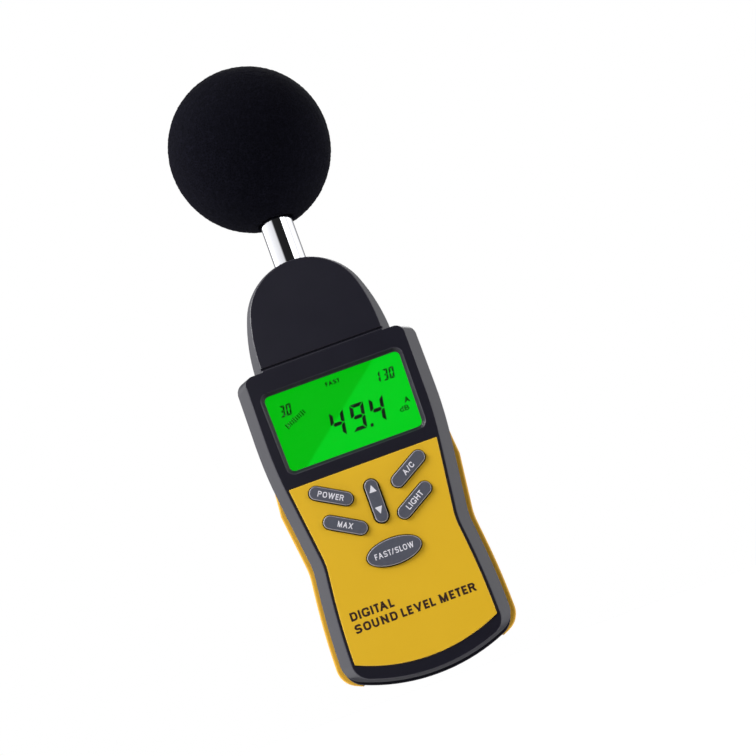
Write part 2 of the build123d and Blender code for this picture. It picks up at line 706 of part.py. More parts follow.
door_inside = WALL + TONGUE_THICKNESS + TONGUE_GAP
with BuildPart() as battery_door:
    add(rear_hollow.part & door_core)
    with BuildSketch(at_depth(WALL)):
        with Locations((0, COMPARTMENT_TOP - TONGUE_THICKNESS)):
            Rectangle(DOOR_WIDTH - 2 * DOOR_GAP, tongue_length, align=(Align.CENTER, Align.MAX))
            Rectangle(
                2 * battery_half, tongue_length, align=(Align.CENTER, Align.MAX), mode=Mode.SUBTRACT
            )
    extrude(amount=TONGUE_THICKNESS + TONGUE_GAP)
    with BuildSketch(at_depth(tongue_depth)):
        for side in (-1, 1):
            with Locations((side * (DOOR_WIDTH / 2 - DOOR_GAP), COMPARTMENT_TOP - TONGUE_THICKNESS)):
                Rectangle(2 * TONGUE_WIDTH, tongue_length, align=(Align.CENTER, Align.MAX))
    extrude(amount=TONGUE_THICKNESS)
    ridge_top = door_top_z - DOOR_RIDGE_DROP
    for ridge in range(DOOR_RIDGES):
        with BuildSketch(at_depth(0)):
            with Locations((0, ridge_top - ridge * DOOR_RIDGE_PITCH)):
                SlotOverall(DOOR_RIDGE_LENGTH, DOOR_RIDGE_WIDTH)
        extrude(amount=DOOR_RIDGE_DEPTH, mode=Mode.SUBTRACT)
save(battery_door.part, "battery_door")

with BuildPart() as door_pad:
    with BuildSketch(at_depth(WALL)):
        with Locations(tray_middle):
            RectangleRounded(PAD_WIDTH, PAD_LENGTH, PAD_CORNER)
    extrude(amount=PAD_THICKNESS)
save(door_pad.part, "door_pad")

with BuildPart() as rear_label:
    with BuildSketch(at_depth(0)):
        with Locations((0, LABEL_RISE + LABEL_HEIGHT / 2)):
            RectangleRounded(
                LABEL_WIDTH - PANEL_CLEARANCE, LABEL_HEIGHT - PANEL_CLEARANCE, LABEL_CORNER
            )
    extrude(amount=LABEL_THICKNESS)
save(rear_label.part, "rear_label")

# ---------------------------------------------------------------- side grips
grip_back = parting - GRIP_FRONT_GAP - GRIP_DEPTH
grip_outline = body_outline(-GRIP_PROUD, 0, -REAR_DROP - GRIP_BOTTOM, BOTTOM_CORNER_RADIUS)
rib_count = int((grip_top_z - hip_z - GRIP_RIB_END) / GRIP_RIB_PITCH) + GRIP_RIBS_BELOW_HIP


def grip_edge_x(z: float) -> float:
    """Where the grip's outer edge lies at a height, without the rounding of its bends."""
    half = BODY_WIDTH / 2 + GRIP_PROUD
    if z > waist_z:
        share = min((shoulder_z - z) / (shoulder_z - waist_z), 1.0)
        return half - WAIST_INSET * max(share, 0.0)
    share = min((waist_z - z) / (waist_z - hip_z), 1.0)
    return half - WAIST_INSET + (WAIST_INSET - HIP_INSET) * share


lead_start = grip_edge_x(grip_top_z) - GRIP_PROUD + GRIP_LEAD_THICKNESS
lead_end = grip_edge_x(grip_top_z - GRIP_LEAD)


def side_grip(side: int) -> Part:
    """One grip: a strip along the side of the rear shell, with round grooves across it."""
    with BuildPart() as grip:
        with BuildSketch(at_depth(grip_back)):
            add(grip_outline)
            add(rear_outer, mode=Mode.SUBTRACT)
            with Locations((side * GRIP_INNER_X, grip_top_z)):
                Rectangle(
                    BODY_WIDTH, BODY_LENGTH, mode=Mode.INTERSECT,
                    align=(Align.MIN if side > 0 else Align.MAX, Align.MAX),
                )
            with BuildLine():
                Polyline(
                    (side * lead_start, grip_top_z), (side * lead_end, grip_top_z - GRIP_LEAD),
                    (side * BODY_WIDTH, grip_top_z - GRIP_LEAD), (side * BODY_WIDTH, grip_top_z + CUT_SPARE),
                    (side * lead_start, grip_top_z + CUT_SPARE), close=True,
                )
            make_face(mode=Mode.SUBTRACT)
        extrude(amount=GRIP_DEPTH)
        with BuildSketch(at_depth(grip_back + GRIP_RIB_MARGIN)):
            for rib in range(rib_count):
                z = grip_top_z - GRIP_RIB_END - rib * GRIP_RIB_PITCH
                x = side * (grip_edge_x(z) + GRIP_RIB_RADIUS - GRIP_RIB_DEPTH)
                with Locations((x, z)):
                    Circle(GRIP_RIB_RADIUS)
        extrude(amount=GRIP_DEPTH - 2 * GRIP_RIB_MARGIN, mode=Mode.SUBTRACT)
    return grip.part


left_grip = side_grip(-1)
right_grip = side_grip(1)
save(left_grip, "left_grip")
save(right_grip, "right_grip")

# ---------------------------------------------------------------- face panel, window and display
with BuildPart() as face_panel:
    with BuildSketch(at_depth(panel_seat)):
        add(panel_outline(0))
        add(all_keys(KEY_GAP, ROCKER_GAP), mode=Mode.SUBTRACT)
    extrude(amount=PANEL_THICKNESS)
save(face_panel.part, "face_panel")

with BuildPart() as window_lens:
    with BuildSketch(at_depth(lens_back)):
        add(window_outline(LENS_OVERLAP))
    extrude(amount=LENS_THICKNESS)
save(window_lens.part, "window_lens")

glass_width = 2 * (window_half + GLASS_OVERLAP)
glass_top = window_top_z + GLASS_OVERLAP
glass_bottom = window_bottom_z - GLASS_OVERLAP
glass_height = glass_top - glass_bottom
upper_edge = (Align.CENTER, Align.MAX)

with BuildPart() as lcd_front_glass:
    with BuildSketch(at_depth(rear_glass_front)):
        with Locations((0, glass_top)):
            Rectangle(glass_width, glass_height + GLASS_LEDGE, align=upper_edge)
    extrude(amount=GLASS_THICKNESS)
save(lcd_front_glass.part, "lcd_front_glass")

with BuildPart() as lcd_rear_glass:
    with BuildSketch(at_depth(backlight_front)):
        with Locations((0, glass_top)):
            Rectangle(glass_width, glass_height, align=upper_edge)
    extrude(amount=GLASS_THICKNESS)
save(lcd_rear_glass.part, "lcd_rear_glass")

led_width, led_height, led_depth = LED_SIZE
led_places = [(x * glass_width / 4, glass_top - led_height / 2) for x in (-1, 1)]

with BuildPart() as backlight:
    with BuildSketch(at_depth(backlight_back)):
        with Locations((0, glass_top)):
            Rectangle(glass_width, glass_height, align=upper_edge)
    extrude(amount=BACKLIGHT_THICKNESS)
    with BuildSketch(at_depth(backlight_back)):
        with Locations(*led_places):
            Rectangle(led_width + 2 * FRAME_CLEARANCE, led_height + 2 * FRAME_CLEARANCE)
    extrude(amount=led_depth + FRAME_CLEARANCE, mode=Mode.SUBTRACT)
save(backlight.part, "backlight")

with BuildPart() as backlight_leds:
    with BuildSketch(at_depth(board_front)):
        with Locations(*led_places):
            Rectangle(led_width, led_height)
    extrude(amount=BOARD_GAP + led_depth)
save(backlight_leds.part, "backlight_leds")

with BuildPart() as zebra_strip:
    with BuildSketch(at_depth(board_front)):
        with Locations((0, glass_bottom - STRIP_GAP)):
            Rectangle(glass_width - 4 * FRAME_WALL, GLASS_LEDGE - 2 * STRIP_GAP, align=upper_edge)
    extrude(amount=rear_glass_front - board_front)
save(zebra_strip.part, "zebra_strip")

with BuildPart() as lcd_frame:
    frame_width = glass_width + 2 * FRAME_CLEARANCE
    frame_height = glass_height + GLASS_LEDGE + 2 * FRAME_CLEARANCE
    with BuildSketch(at_depth(board_front)):
        with Locations((0, glass_top + FRAME_CLEARANCE - frame_height / 2)):
            Rectangle(frame_width + 2 * FRAME_WALL, frame_height + 2 * FRAME_WALL)
            Rectangle(frame_width, frame_height, mode=Mode.SUBTRACT)
    extrude(amount=glass_front - board_front)
save(lcd_frame.part, "lcd_frame")

# ---------------------------------------------------------------- main board
board_top_z = glass_top + BOARD_TOP_ROOM
board_bottom_z = panel_top_z - LOWER_BOARD_BOSS[1] - BOARD_TAIL
with BuildPart() as main_board:
    with BuildSketch(at_depth(board_back)):
        add(body_outline(WALL + BOARD_GAP_SIDE, WALL, WALL, BOTTOM_CORNER_RADIUS - WALL))
        with Locations((0, board_top_z)):
            Rectangle(
                BODY_WIDTH, board_top_z - board_bottom_z, align=upper_edge, mode=Mode.INTERSECT
            )
        with Locations(*board_screw_places):
            Circle(BOARD_HOLE_RADIUS, mode=Mode.SUBTRACT)
    extrude(amount=BOARD_THICKNESS)
save(main_board.part, "main_board")

with BuildPart() as board_screws:
    with BuildSketch(at_depth(board_back - BOARD_HEAD_HEIGHT)):
        with Locations(*board_screw_places):
            Circle(BOARD_SCREW_HEAD)
    extrude(amount=BOARD_HEAD_HEIGHT)
    with BuildSketch(at_depth(board_back)):
        with Locations(*board_screw_places):
            Circle(BOARD_SCREW_RADIUS - THREAD_CLEARANCE)
    extrude(amount=BOARD_THICKNESS + BOARD_SCREW_BITE)
    with BuildSketch(at_depth(board_back - BOARD_HEAD_HEIGHT)):
        with Locations(*board_screw_places):
            Rectangle(RECESS_SIZE, RECESS_WIDTH)
            Rectangle(RECESS_WIDTH, RECESS_SIZE)
    extrude(amount=RECESS_DEPTH, mode=Mode.SUBTRACT)
save(board_screws.part, "board_screws")

with BuildPart() as mcu_chip:
    with BuildSketch(at_depth(board_back - MCU_HEIGHT)):
        with Locations(MCU_PLACE):
            Rectangle(MCU_SIZE, MCU_SIZE)
    extrude(amount=MCU_HEIGHT)
save(mcu_chip.part, "mcu_chip")

with BuildPart() as amplifier_chips:
    amp_width, amp_height, amp_depth = AMP_SIZE
    with BuildSketch(at_depth(board_back - amp_depth)):
        with Locations(*AMP_PLACES):
            Rectangle(amp_width, amp_height)
    extrude(amount=amp_depth)
save(amplifier_chips.part, "amplifier_chips")

with BuildPart() as capacitors:
    with BuildSketch(at_depth(board_back - CAPACITOR_HEIGHT)):
        with Locations(*CAPACITOR_PLACES):
            Circle(CAPACITOR_RADIUS)
    extrude(amount=CAPACITOR_HEIGHT)
    fillet(capacitors.faces().filter_by(Axis.Y).group_by(Axis.Y)[-1].edges(), radius=CAPACITOR_ROUND)
save(capacitors.part, "capacitors")

trimmer_face = board_back - TRIMMER_HEIGHT
with BuildPart() as trimmer_body:
    with BuildSketch(at_depth(trimmer_face)):
        with Locations(TRIMMER_PLACE):
            Rectangle(TRIMMER_SIZE, TRIMMER_SIZE)
    extrude(amount=TRIMMER_HEIGHT)
    with BuildSketch(at_depth(trimmer_face)):
        with Locations(TRIMMER_PLACE):
            Circle(ROTOR_RADIUS + ROTOR_CLEARANCE)
    extrude(amount=TRIMMER_WELL, mode=Mode.SUBTRACT)
save(trimmer_body.part, "trimmer_body")

with BuildPart() as trimmer_rotor:
    with BuildSketch(at_depth(trimmer_face)):
        with Locations(TRIMMER_PLACE):
            Circle(ROTOR_RADIUS)
    extrude(amount=TRIMMER_WELL - ROTOR_FLOOR_GAP)
    with BuildSketch(at_depth(trimmer_face)):
        with Locations(TRIMMER_PLACE):
            Rectangle(2 * ROTOR_RADIUS, ROTOR_SLOT)
    extrude(amount=TRIMMER_WELL / 2, mode=Mode.SUBTRACT)
save(trimmer_rotor.part, "trimmer_rotor")

# ---------------------------------------------------------------- keys, carbon pills and mat
pill_back = board_front + KEY_TRAVEL + KEY_SPARE
pill_front = pill_back + PILL_THICKNESS
key_top = panel_face + KEY_PROUD
flange_front = front_inside - KEY_FLANGE_GAP
flange_back = flange_front - KEY_FLANGE_THICKNESS
level_z = panel_top_z - KEY_PLACES["level_key"][1]
level_pill_places = [(0, level_z + s * ROCKER_PILL_SPACING / 2) for s in (-1, 1)]

for key_name in KEY_PLACES:
    rocker = key_name == "level_key"
    with BuildPart() as key:
        with BuildSketch(at_depth(flange_back)):
            add(key_outline(key_name, 0))
        extrude(amount=key_top - flange_back)
        fillet(key.faces().sort_by(Axis.Y)[0].edges(), radius=KEY_ROUND)
        if not rocker:
            with BuildSketch(at_depth(flange_back)):
                add(key_outline(key_name, KEY_FLANGE))
            extrude(amount=KEY_FLANGE_THICKNESS)
        with BuildSketch(at_depth(pill_front)):
            add(key_outline(key_name, -KEY_FOOT_INSET))
        extrude(amount=flange_back - pill_front)
    save(key.part, key_name)

    with BuildPart() as pill:
        with BuildSketch(at_depth(pill_back)):
            if rocker:
                with Locations(*level_pill_places):
                    Rectangle(KEY_WIDTH - 2 * (KEY_FOOT_INSET + PILL_INSET), ROCKER_PILL_SIZE)
            else:
                add(key_outline(key_name, -KEY_FOOT_INSET - PILL_INSET))
        extrude(amount=PILL_THICKNESS)
    save(pill.part, f"{key_name}_pill")

with BuildPart() as keypad_mat:
    with BuildSketch(at_depth(board_front)):
        add(body_outline(MAT_SIDE, WALL, WALL, BOTTOM_CORNER_RADIUS - WALL))
        with Locations((0, panel_top_z)):
            Rectangle(
                BODY_WIDTH, LOWER_BOARD_BOSS[1] + BOARD_BOSS_RADIUS, align=upper_edge,
                mode=Mode.INTERSECT,
            )
        add(
            all_keys(MAT_HOLE_GAP - KEY_FOOT_INSET, ROCKER_MAT_GAP - KEY_FOOT_INSET),
            mode=Mode.SUBTRACT,
        )
        with Locations(*board_screw_places):
            Circle(BOARD_BOSS_RADIUS + KEY_GAP, mode=Mode.SUBTRACT)
    extrude(amount=MAT_THICKNESS)
save(keypad_mat.part, "keypad_mat")

# ---------------------------------------------------------------- battery, snap and leads
battery_middle_depth = battery_back + BATTERY_DEPTH / 2
battery_bottom_z = compartment_bottom + BATTERY_GAP
battery_top_z = battery_bottom_z + BATTERY_LENGTH
terminal_places = [(x * TERMINAL_SPACING / 2, 0) for x in (-1, 1)]
snap_bottom_z = battery_top_z + SNAP_CLEARANCE
snap_top_z = snap_bottom_z + SNAP_THICKNESS

with BuildPart() as battery:
    with BuildSketch(level(battery_bottom_z, battery_middle_depth)):
        RectangleRounded(BATTERY_WIDTH, BATTERY_DEPTH, BATTERY_EDGE)
    extrude(amount=BATTERY_LENGTH)
    with BuildSketch(level(battery_top_z, battery_middle_depth)):
        with Locations(*terminal_places):
            Circle(TERMINAL_RADIUS)
    extrude(amount=TERMINAL_HEIGHT)
save(battery.part, "battery")

with BuildPart() as battery_snap:
    with BuildSketch(level(snap_bottom_z, battery_middle_depth)):
        RectangleRounded(SNAP_WIDTH, SNAP_DEPTH, BATTERY_EDGE)
    extrude(amount=SNAP_THICKNESS)
    with BuildSketch(level(snap_bottom_z, battery_middle_depth)):
        with Locations(*terminal_places):
            Circle(TERMINAL_RADIUS + SNAP_CLEARANCE)
    extrude(amount=TERMINAL_HEIGHT + SNAP_CLEARANCE, mode=Mode.SUBTRACT)
save(battery_snap.part, "battery_snap")


def bend_radii(route: list) -> list:
    """The largest even arc for each corner: 0.45 of its shorter run over tan of half its turn."""
    radii = []
    for before, here, after in zip(route, route[1:], route[2:]):
        first = Vector(*here) - Vector(*before)
        second = Vector(*after) - Vector(*here)
        half_turn = math.radians(first.get_angle(second)) / 2
        radii.append(0.45 * min(first.length, second.length) / math.tan(half_turn))
    return radii


def lead(route: list, name: str) -> None:
    """A thin round lead along straight runs and tangent arcs."""
    radii = bend_radii(route)
    print(name, "radii", [round(r, 1) for r in radii])
    with BuildPart() as wire:
        with BuildLine() as path:
            FilletPolyline(*route, radius=radii)
        with BuildSketch(Plane(route[0], z_dir=Vector(*route[1]) - Vector(*route[0]))):
            Circle(LEAD_RADIUS)
        sweep(path=path.wire())
    save(wire.part, name)


lead_depth = battery_middle_depth
for lead_name, side in (("battery_lead_red", -1), ("battery_lead_black", 1)):
    lead(
        [
            (side * 2.5, -lead_depth, snap_top_z),
            (side * 2.5, -lead_depth, COMPARTMENT_TOP + 1.0),
            (side * 3.5, -lead_depth - 2.0, COMPARTMENT_TOP + 10.0),
            (side * 4.5, -board_back + 5.0, COMPARTMENT_TOP + 15.0),
            (side * 4.5, -board_back, COMPARTMENT_TOP + 15.0),
        ],
        lead_name,
    )

# ---------------------------------------------------------------- microphone and windscreen
with BuildPart() as mic_tube:
    with BuildSketch(level(tube_bottom_z, parting)):
        Circle(root_radius)
    extrude(amount=TUBE_ROOT + TUBE_SHOULDER_RISE)
    with BuildSketch(level(head_top_z + TUBE_SHOULDER_RISE, parting)):
        Circle(TUBE_RADIUS)
    extrude(amount=TUBE_PROUD - TUBE_SHOULDER_RISE)
    with BuildSketch(level(tube_bottom_z, parting)):
        Circle(tube_bore)
    extrude(amount=tube_top_z - tube_bottom_z, mode=Mode.SUBTRACT)
save(mic_tube.part, "mic_tube")

with BuildPart() as mic_sleeve:
    with BuildSketch(level(head_top_z - SLEEVE_DROP, parting)):
        Circle(sleeve_radius)
        Circle(sleeve_bore, mode=Mode.SUBTRACT)
    extrude(amount=SLEEVE_LENGTH)
save(mic_sleeve.part, "mic_sleeve")

with BuildPart() as mic_capsule:
    with BuildSketch(level(tube_top_z, parting)):
        Circle(TUBE_RADIUS)
    extrude(amount=CAPSULE_LENGTH)
    with BuildSketch(level(tube_top_z - CAPSULE_SPIGOT, parting)):
        Circle(tube_bore - SPIGOT_CLEARANCE)
    extrude(amount=CAPSULE_SPIGOT)
save(mic_capsule.part, "mic_capsule")

with BuildPart() as mic_grid:
    with BuildSketch(level(capsule_top_z, parting)):
        Circle(TUBE_RADIUS)
    extrude(amount=GRID_HEIGHT)
    chamfer(mic_grid.faces().sort_by(Axis.Z)[-1].edges(), length=GRID_CHAMFER)
    with BuildSketch(level(capsule_top_z, parting)):
        Circle(TUBE_RADIUS - GRID_WALL)
    extrude(amount=GRID_HEIGHT - GRID_WALL, mode=Mode.SUBTRACT)
    with BuildSketch(level(capsule_top_z + GRID_WALL, parting)):
        with PolarLocations(GRID_SLOT_INNER + GRID_SLOT_LENGTH / 2, GRID_SLOTS):
            SlotOverall(GRID_SLOT_LENGTH, GRID_SLOT_WIDTH)
    extrude(amount=GRID_HEIGHT, mode=Mode.SUBTRACT)
save(mic_grid.part, "mic_grid")

with BuildPart() as preamp_board:
    with BuildSketch(level(tube_top_z - CAPSULE_SPIGOT - PREAMP_LENGTH, parting)):
        Rectangle(PREAMP_WIDTH, PREAMP_THICKNESS)
    extrude(amount=PREAMP_LENGTH)
save(preamp_board.part, "preamp_board")

lead(
    [
        (0.0, -parting, tube_top_z - CAPSULE_SPIGOT - PREAMP_LENGTH),
        (0.0, -parting, tube_bottom_z - 6.0),
        (2.0, -parting + 4.0, tube_bottom_z - 18.0),
        (6.0, -parting + 6.0, tube_bottom_z - 28.0),
        (8.5, -board_back + 6.0, tube_bottom_z - 34.0),
        (8.5, -board_back, tube_bottom_z - 34.0),
    ],
    "mic_lead",
)

bore_top_z = grid_top_z + BALL_BORE_SPARE
bore_radius = TUBE_RADIUS + BALL_BORE_CLEARANCE
mouth_z = ball_z - math.sqrt(BALL_RADIUS**2 - bore_radius**2)
with BuildPart() as windscreen:
    with BuildSketch(Plane((0, -parting, ball_z), x_dir=(1, 0, 0), z_dir=(0, -1, 0))):
        with BuildLine():
            rim = (bore_radius, mouth_z - ball_z)
            ThreePointArc(rim, (BALL_RADIUS, 0), (0, BALL_RADIUS))
            Line((0, BALL_RADIUS), (0, bore_top_z - ball_z))
            Line((0, bore_top_z - ball_z), (bore_radius, bore_top_z - ball_z))
            Line((bore_radius, bore_top_z - ball_z), rim)
        make_face()
    revolve(axis=Axis((0, -parting, ball_z), (0, 0, 1)))
    mouth_edge = windscreen.edges().filter_by(GeomType.CIRCLE).sort_by(Axis.Z)[0]
    fillet(mouth_edge, radius=BALL_MOUTH_ROUND)
save(windscreen.part, "windscreen")

# ---------------------------------------------------------------- tripod bush and case screws
with BuildPart() as tripod_bush:
    with BuildSketch(at_depth(0)):
        Circle(BUSH_RADIUS)
    extrude(amount=BUSH_LENGTH)
    with BuildSketch(at_depth(0)):
        Circle(BUSH_THREAD_RADIUS)
    extrude(amount=BUSH_THREAD_DEPTH, mode=Mode.SUBTRACT)
save(tripod_bush.part, "tripod_bush")

with BuildPart() as case_screws:
    with BuildSketch(at_depth(COUNTERBORE_DEPTH - SCREW_HEAD_HEIGHT)):
        with Locations(*case_screw_places):
            Circle(SCREW_HEAD_RADIUS)
    extrude(amount=SCREW_HEAD_HEIGHT)
    with BuildSketch(at_depth(COUNTERBORE_DEPTH)):
        with Locations(*case_screw_places):
            Circle(SCREW_RADIUS)
    extrude(amount=parting + SCREW_BITE - COUNTERBORE_DEPTH)
    with BuildSketch(at_depth(COUNTERBORE_DEPTH - SCREW_HEAD_HEIGHT)):
        with Locations(*case_screw_places):
            Rectangle(RECESS_SIZE, RECESS_WIDTH)
            Rectangle(RECESS_WIDTH, RECESS_SIZE)
    extrude(amount=RECESS_DEPTH, mode=Mode.SUBTRACT)
save(case_screws.part, "case_screws")
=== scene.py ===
"""Looks of a handheld sound level meter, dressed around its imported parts.

Everything is in metres in the part's own frame: +Z runs up to the microphone, the face with
the display and the keys looks along -Y, and the origin is the tripod bush in the back. Sizes
of small details are held in millimetres and turned to metres where a mesh is made.
"""

import json
import logging
import math
from collections.abc import Callable, Iterable, Sequence
from dataclasses import dataclass
from enum import Enum
from typing import Any

import bmesh
import bpy
import numpy as np
from mathutils import Matrix, Vector

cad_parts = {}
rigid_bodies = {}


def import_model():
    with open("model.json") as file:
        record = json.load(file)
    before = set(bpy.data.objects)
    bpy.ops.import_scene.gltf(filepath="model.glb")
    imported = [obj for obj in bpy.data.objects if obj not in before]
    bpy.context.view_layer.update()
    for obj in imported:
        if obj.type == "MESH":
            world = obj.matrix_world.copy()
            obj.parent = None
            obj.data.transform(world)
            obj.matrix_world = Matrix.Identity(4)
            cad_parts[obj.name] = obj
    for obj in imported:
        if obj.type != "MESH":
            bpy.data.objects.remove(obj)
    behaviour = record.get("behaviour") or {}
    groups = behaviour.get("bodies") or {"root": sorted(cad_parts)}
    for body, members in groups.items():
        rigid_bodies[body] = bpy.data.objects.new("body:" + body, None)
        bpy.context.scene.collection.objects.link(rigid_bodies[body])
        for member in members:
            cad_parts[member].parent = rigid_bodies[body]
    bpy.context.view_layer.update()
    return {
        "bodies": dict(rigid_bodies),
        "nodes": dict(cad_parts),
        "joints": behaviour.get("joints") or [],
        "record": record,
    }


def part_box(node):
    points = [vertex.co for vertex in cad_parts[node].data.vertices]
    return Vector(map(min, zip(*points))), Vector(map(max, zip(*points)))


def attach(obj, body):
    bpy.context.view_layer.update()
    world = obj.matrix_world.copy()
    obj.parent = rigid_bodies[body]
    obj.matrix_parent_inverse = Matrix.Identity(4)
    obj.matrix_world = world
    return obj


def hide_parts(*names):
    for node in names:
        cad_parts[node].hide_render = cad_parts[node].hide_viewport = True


LOG = logging.getLogger("meter")
MM = 0.001
HOUSING = "housing"
Point = tuple[float, float]


# ------------------------------------------------------------------ small tools
def linear(hex_colour: str) -> tuple[float, float, float, float]:
    """Turn an sRGB hex colour into linear light.

    Args:
        hex_colour: Six hex digits, such as "d9a02a".

    Returns:
        Red, green, blue and an alpha of one.
    """
    parts = [int(hex_colour[i : i + 2], 16) / 255 for i in (0, 2, 4)]
    light = [c / 12.92 if c <= 0.04045 else ((c + 0.055) / 1.055) ** 2.4 for c in parts]
    return (light[0], light[1], light[2], 1.0)


def add_node(
    tree: bpy.types.NodeTree,
    kind: str,
    values: dict[Any, Any] | None = None,
    links: dict[Any, Any] | None = None,
    **settings: Any,
) -> bpy.types.Node:
    """Add one node with its settings, its socket values and its links.

    Args:
        tree: The tree that takes the node.
        kind: The node's type name.
        values: Socket name or number to a constant.
        links: Socket name or number to the output that feeds it.
        settings: The node's own properties.

    Returns:
        The new node.
    """
    made = tree.nodes.new(kind)
    for key, value in settings.items():
        setattr(made, key, value)
    for key, value in (values or {}).items():
        made.inputs[key].default_value = value
    for key, output in (links or {}).items():
        tree.links.new(output, made.inputs[key])
    return made


def per_size(size_mm: float) -> float:
    """The scale that gives a texture on Object coordinates features of this size."""
    return 1.0 / (size_mm * MM)


def plain_mesh(obj: bpy.types.Object) -> bpy.types.Mesh:
    """Turn an object with its modifiers into a mesh of its own, and remove the object."""
    bpy.context.view_layer.update()
    graph = bpy.context.evaluated_depsgraph_get()
    mesh = bpy.data.meshes.new_from_object(obj.evaluated_get(graph))
    bpy.data.objects.remove(obj)
    return mesh


def linked(name: str, data: bpy.types.ID) -> bpy.types.Object:
    """Make an object from its data and link it to the scene."""
    obj = bpy.data.objects.new(name, data)
    bpy.context.scene.collection.objects.link(obj)
    return obj


def mesh_of(name: str, points: Iterable[Sequence[float]], faces: Iterable[Sequence[int]]) -> bpy.types.Mesh:
    """Make a mesh from its points and faces."""
    mesh = bpy.data.meshes.new(name)
    mesh.from_pydata([tuple(p) for p in points], [], [tuple(f) for f in faces])
    mesh.update()
    return mesh


def shade(mesh: bpy.types.Mesh, crease_deg: float = 30.0) -> bpy.types.Mesh:
    """Smooth a mesh, and keep the edges that turn more than an angle sharp."""
    work = bmesh.new()
    work.from_mesh(mesh)
    for face in work.faces:
        face.smooth = True
    for edge in work.edges:
        edge.smooth = edge.calc_face_angle(0.0) < math.radians(crease_deg)
    work.to_mesh(mesh)
    work.free()
    return mesh


def joined(name: str, meshes: Sequence[bpy.types.Mesh]) -> bpy.types.Mesh:
    """Put several meshes into one."""
    work = bmesh.new()
    for mesh in meshes:
        work.from_mesh(mesh)
        bpy.data.meshes.remove(mesh)
    whole = bpy.data.meshes.new(name)
    work.to_mesh(whole)
    work.free()
    return whole


def piece(
    name: str,
    mesh: bpy.types.Mesh,
    finish: bpy.types.Material,
    body: str = HOUSING,
    stands_for: Sequence[str] = (),
) -> bpy.types.Object:
    """Make a finished piece and tell the frame about it.

    Args:
        name: The piece's name.
        mesh: Its mesh, with its place in it.
        finish: Its material.
        body: The moving body that it rides on.
        stands_for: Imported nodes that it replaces.

    Returns:
        The piece's object.
    """
    mesh.materials.clear()
    mesh.materials.append(finish)
    obj = linked(name, mesh)
    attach(obj, body)
    if stands_for:
        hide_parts(*stands_for)
    LOG.info("piece %s: %d faces on %s", name, len(mesh.polygons), body)
    return obj


def dress(frame: dict[str, Any], node: str, finish: bpy.types.Material) -> None:
    """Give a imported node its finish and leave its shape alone."""
    obj = frame["nodes"][node]
    obj.data.materials.clear()
    obj.data.materials.append(finish)
    LOG.info("node %s: %s", node, finish.name)


def ring(profile: Sequence[Point], centre: Vector, segments: int = 128, closed: bool = True) -> bpy.types.Mesh:
    """Turn a profile round an upright axis.

    Args:
        profile: Radius and height pairs in millimetres, heights counted from the centre.
        centre: The axis's place, in metres.
        segments: Steps round the axis.
        closed: Whether the profile's last point joins its first.

    Returns:
        A closed mesh that faces outwards.
    """
    points, rows = [], []
    for radius, height in profile:
        if radius < 1e-6:
            rows.append([len(points)] * segments)
            points.append(centre + Vector((0, 0, height * MM)))
            continue
        rows.append(list(range(len(points), len(points) + segments)))
        for step in range(segments):
            turn = math.tau * step / segments
            spoke = Vector((math.cos(turn) * radius, math.sin(turn) * radius, height))
            points.append(centre + spoke * MM)
    faces = []
    pairs = list(zip(rows, rows[1:] + rows[:1])) if closed else list(zip(rows, rows[1:]))
    for low, high in pairs:
        for step in range(segments):
            after = (step + 1) % segments
            corners = dict.fromkeys((low[step], low[after], high[after], high[step]))
            if len(corners) > 2:
                faces.append(list(corners))
    return outward(mesh_of("ring", points, faces))


def outward(mesh: bpy.types.Mesh) -> bpy.types.Mesh:
    """Merge a mesh's doubles and turn its faces outwards."""
    work = bmesh.new()
    work.from_mesh(mesh)
    bmesh.ops.remove_doubles(work, verts=work.verts, dist=1e-7)
    bmesh.ops.recalc_face_normals(work, faces=work.faces)
    work.to_mesh(mesh)
    work.free()
    return mesh


def slab(outline: Sequence[Point], low: float, high: float) -> bpy.types.Mesh:
    """A flat solid that faces the reader.

    Args:
        outline: Corners as x and z, in millimetres.
        low: Its front face's y, in metres.
        high: Its back face's y, in metres.

    Returns:
        A closed mesh.
    """
    count = len(outline)
    points = [(x * MM, y, z * MM) for y in (low, high) for x, z in outline]
    faces = [list(range(count)), list(range(2 * count - 1, count - 1, -1))]
    faces += [[i, (i + 1) % count, count + (i + 1) % count, count + i] for i in range(count)]
    return outward(mesh_of("slab", points, faces))


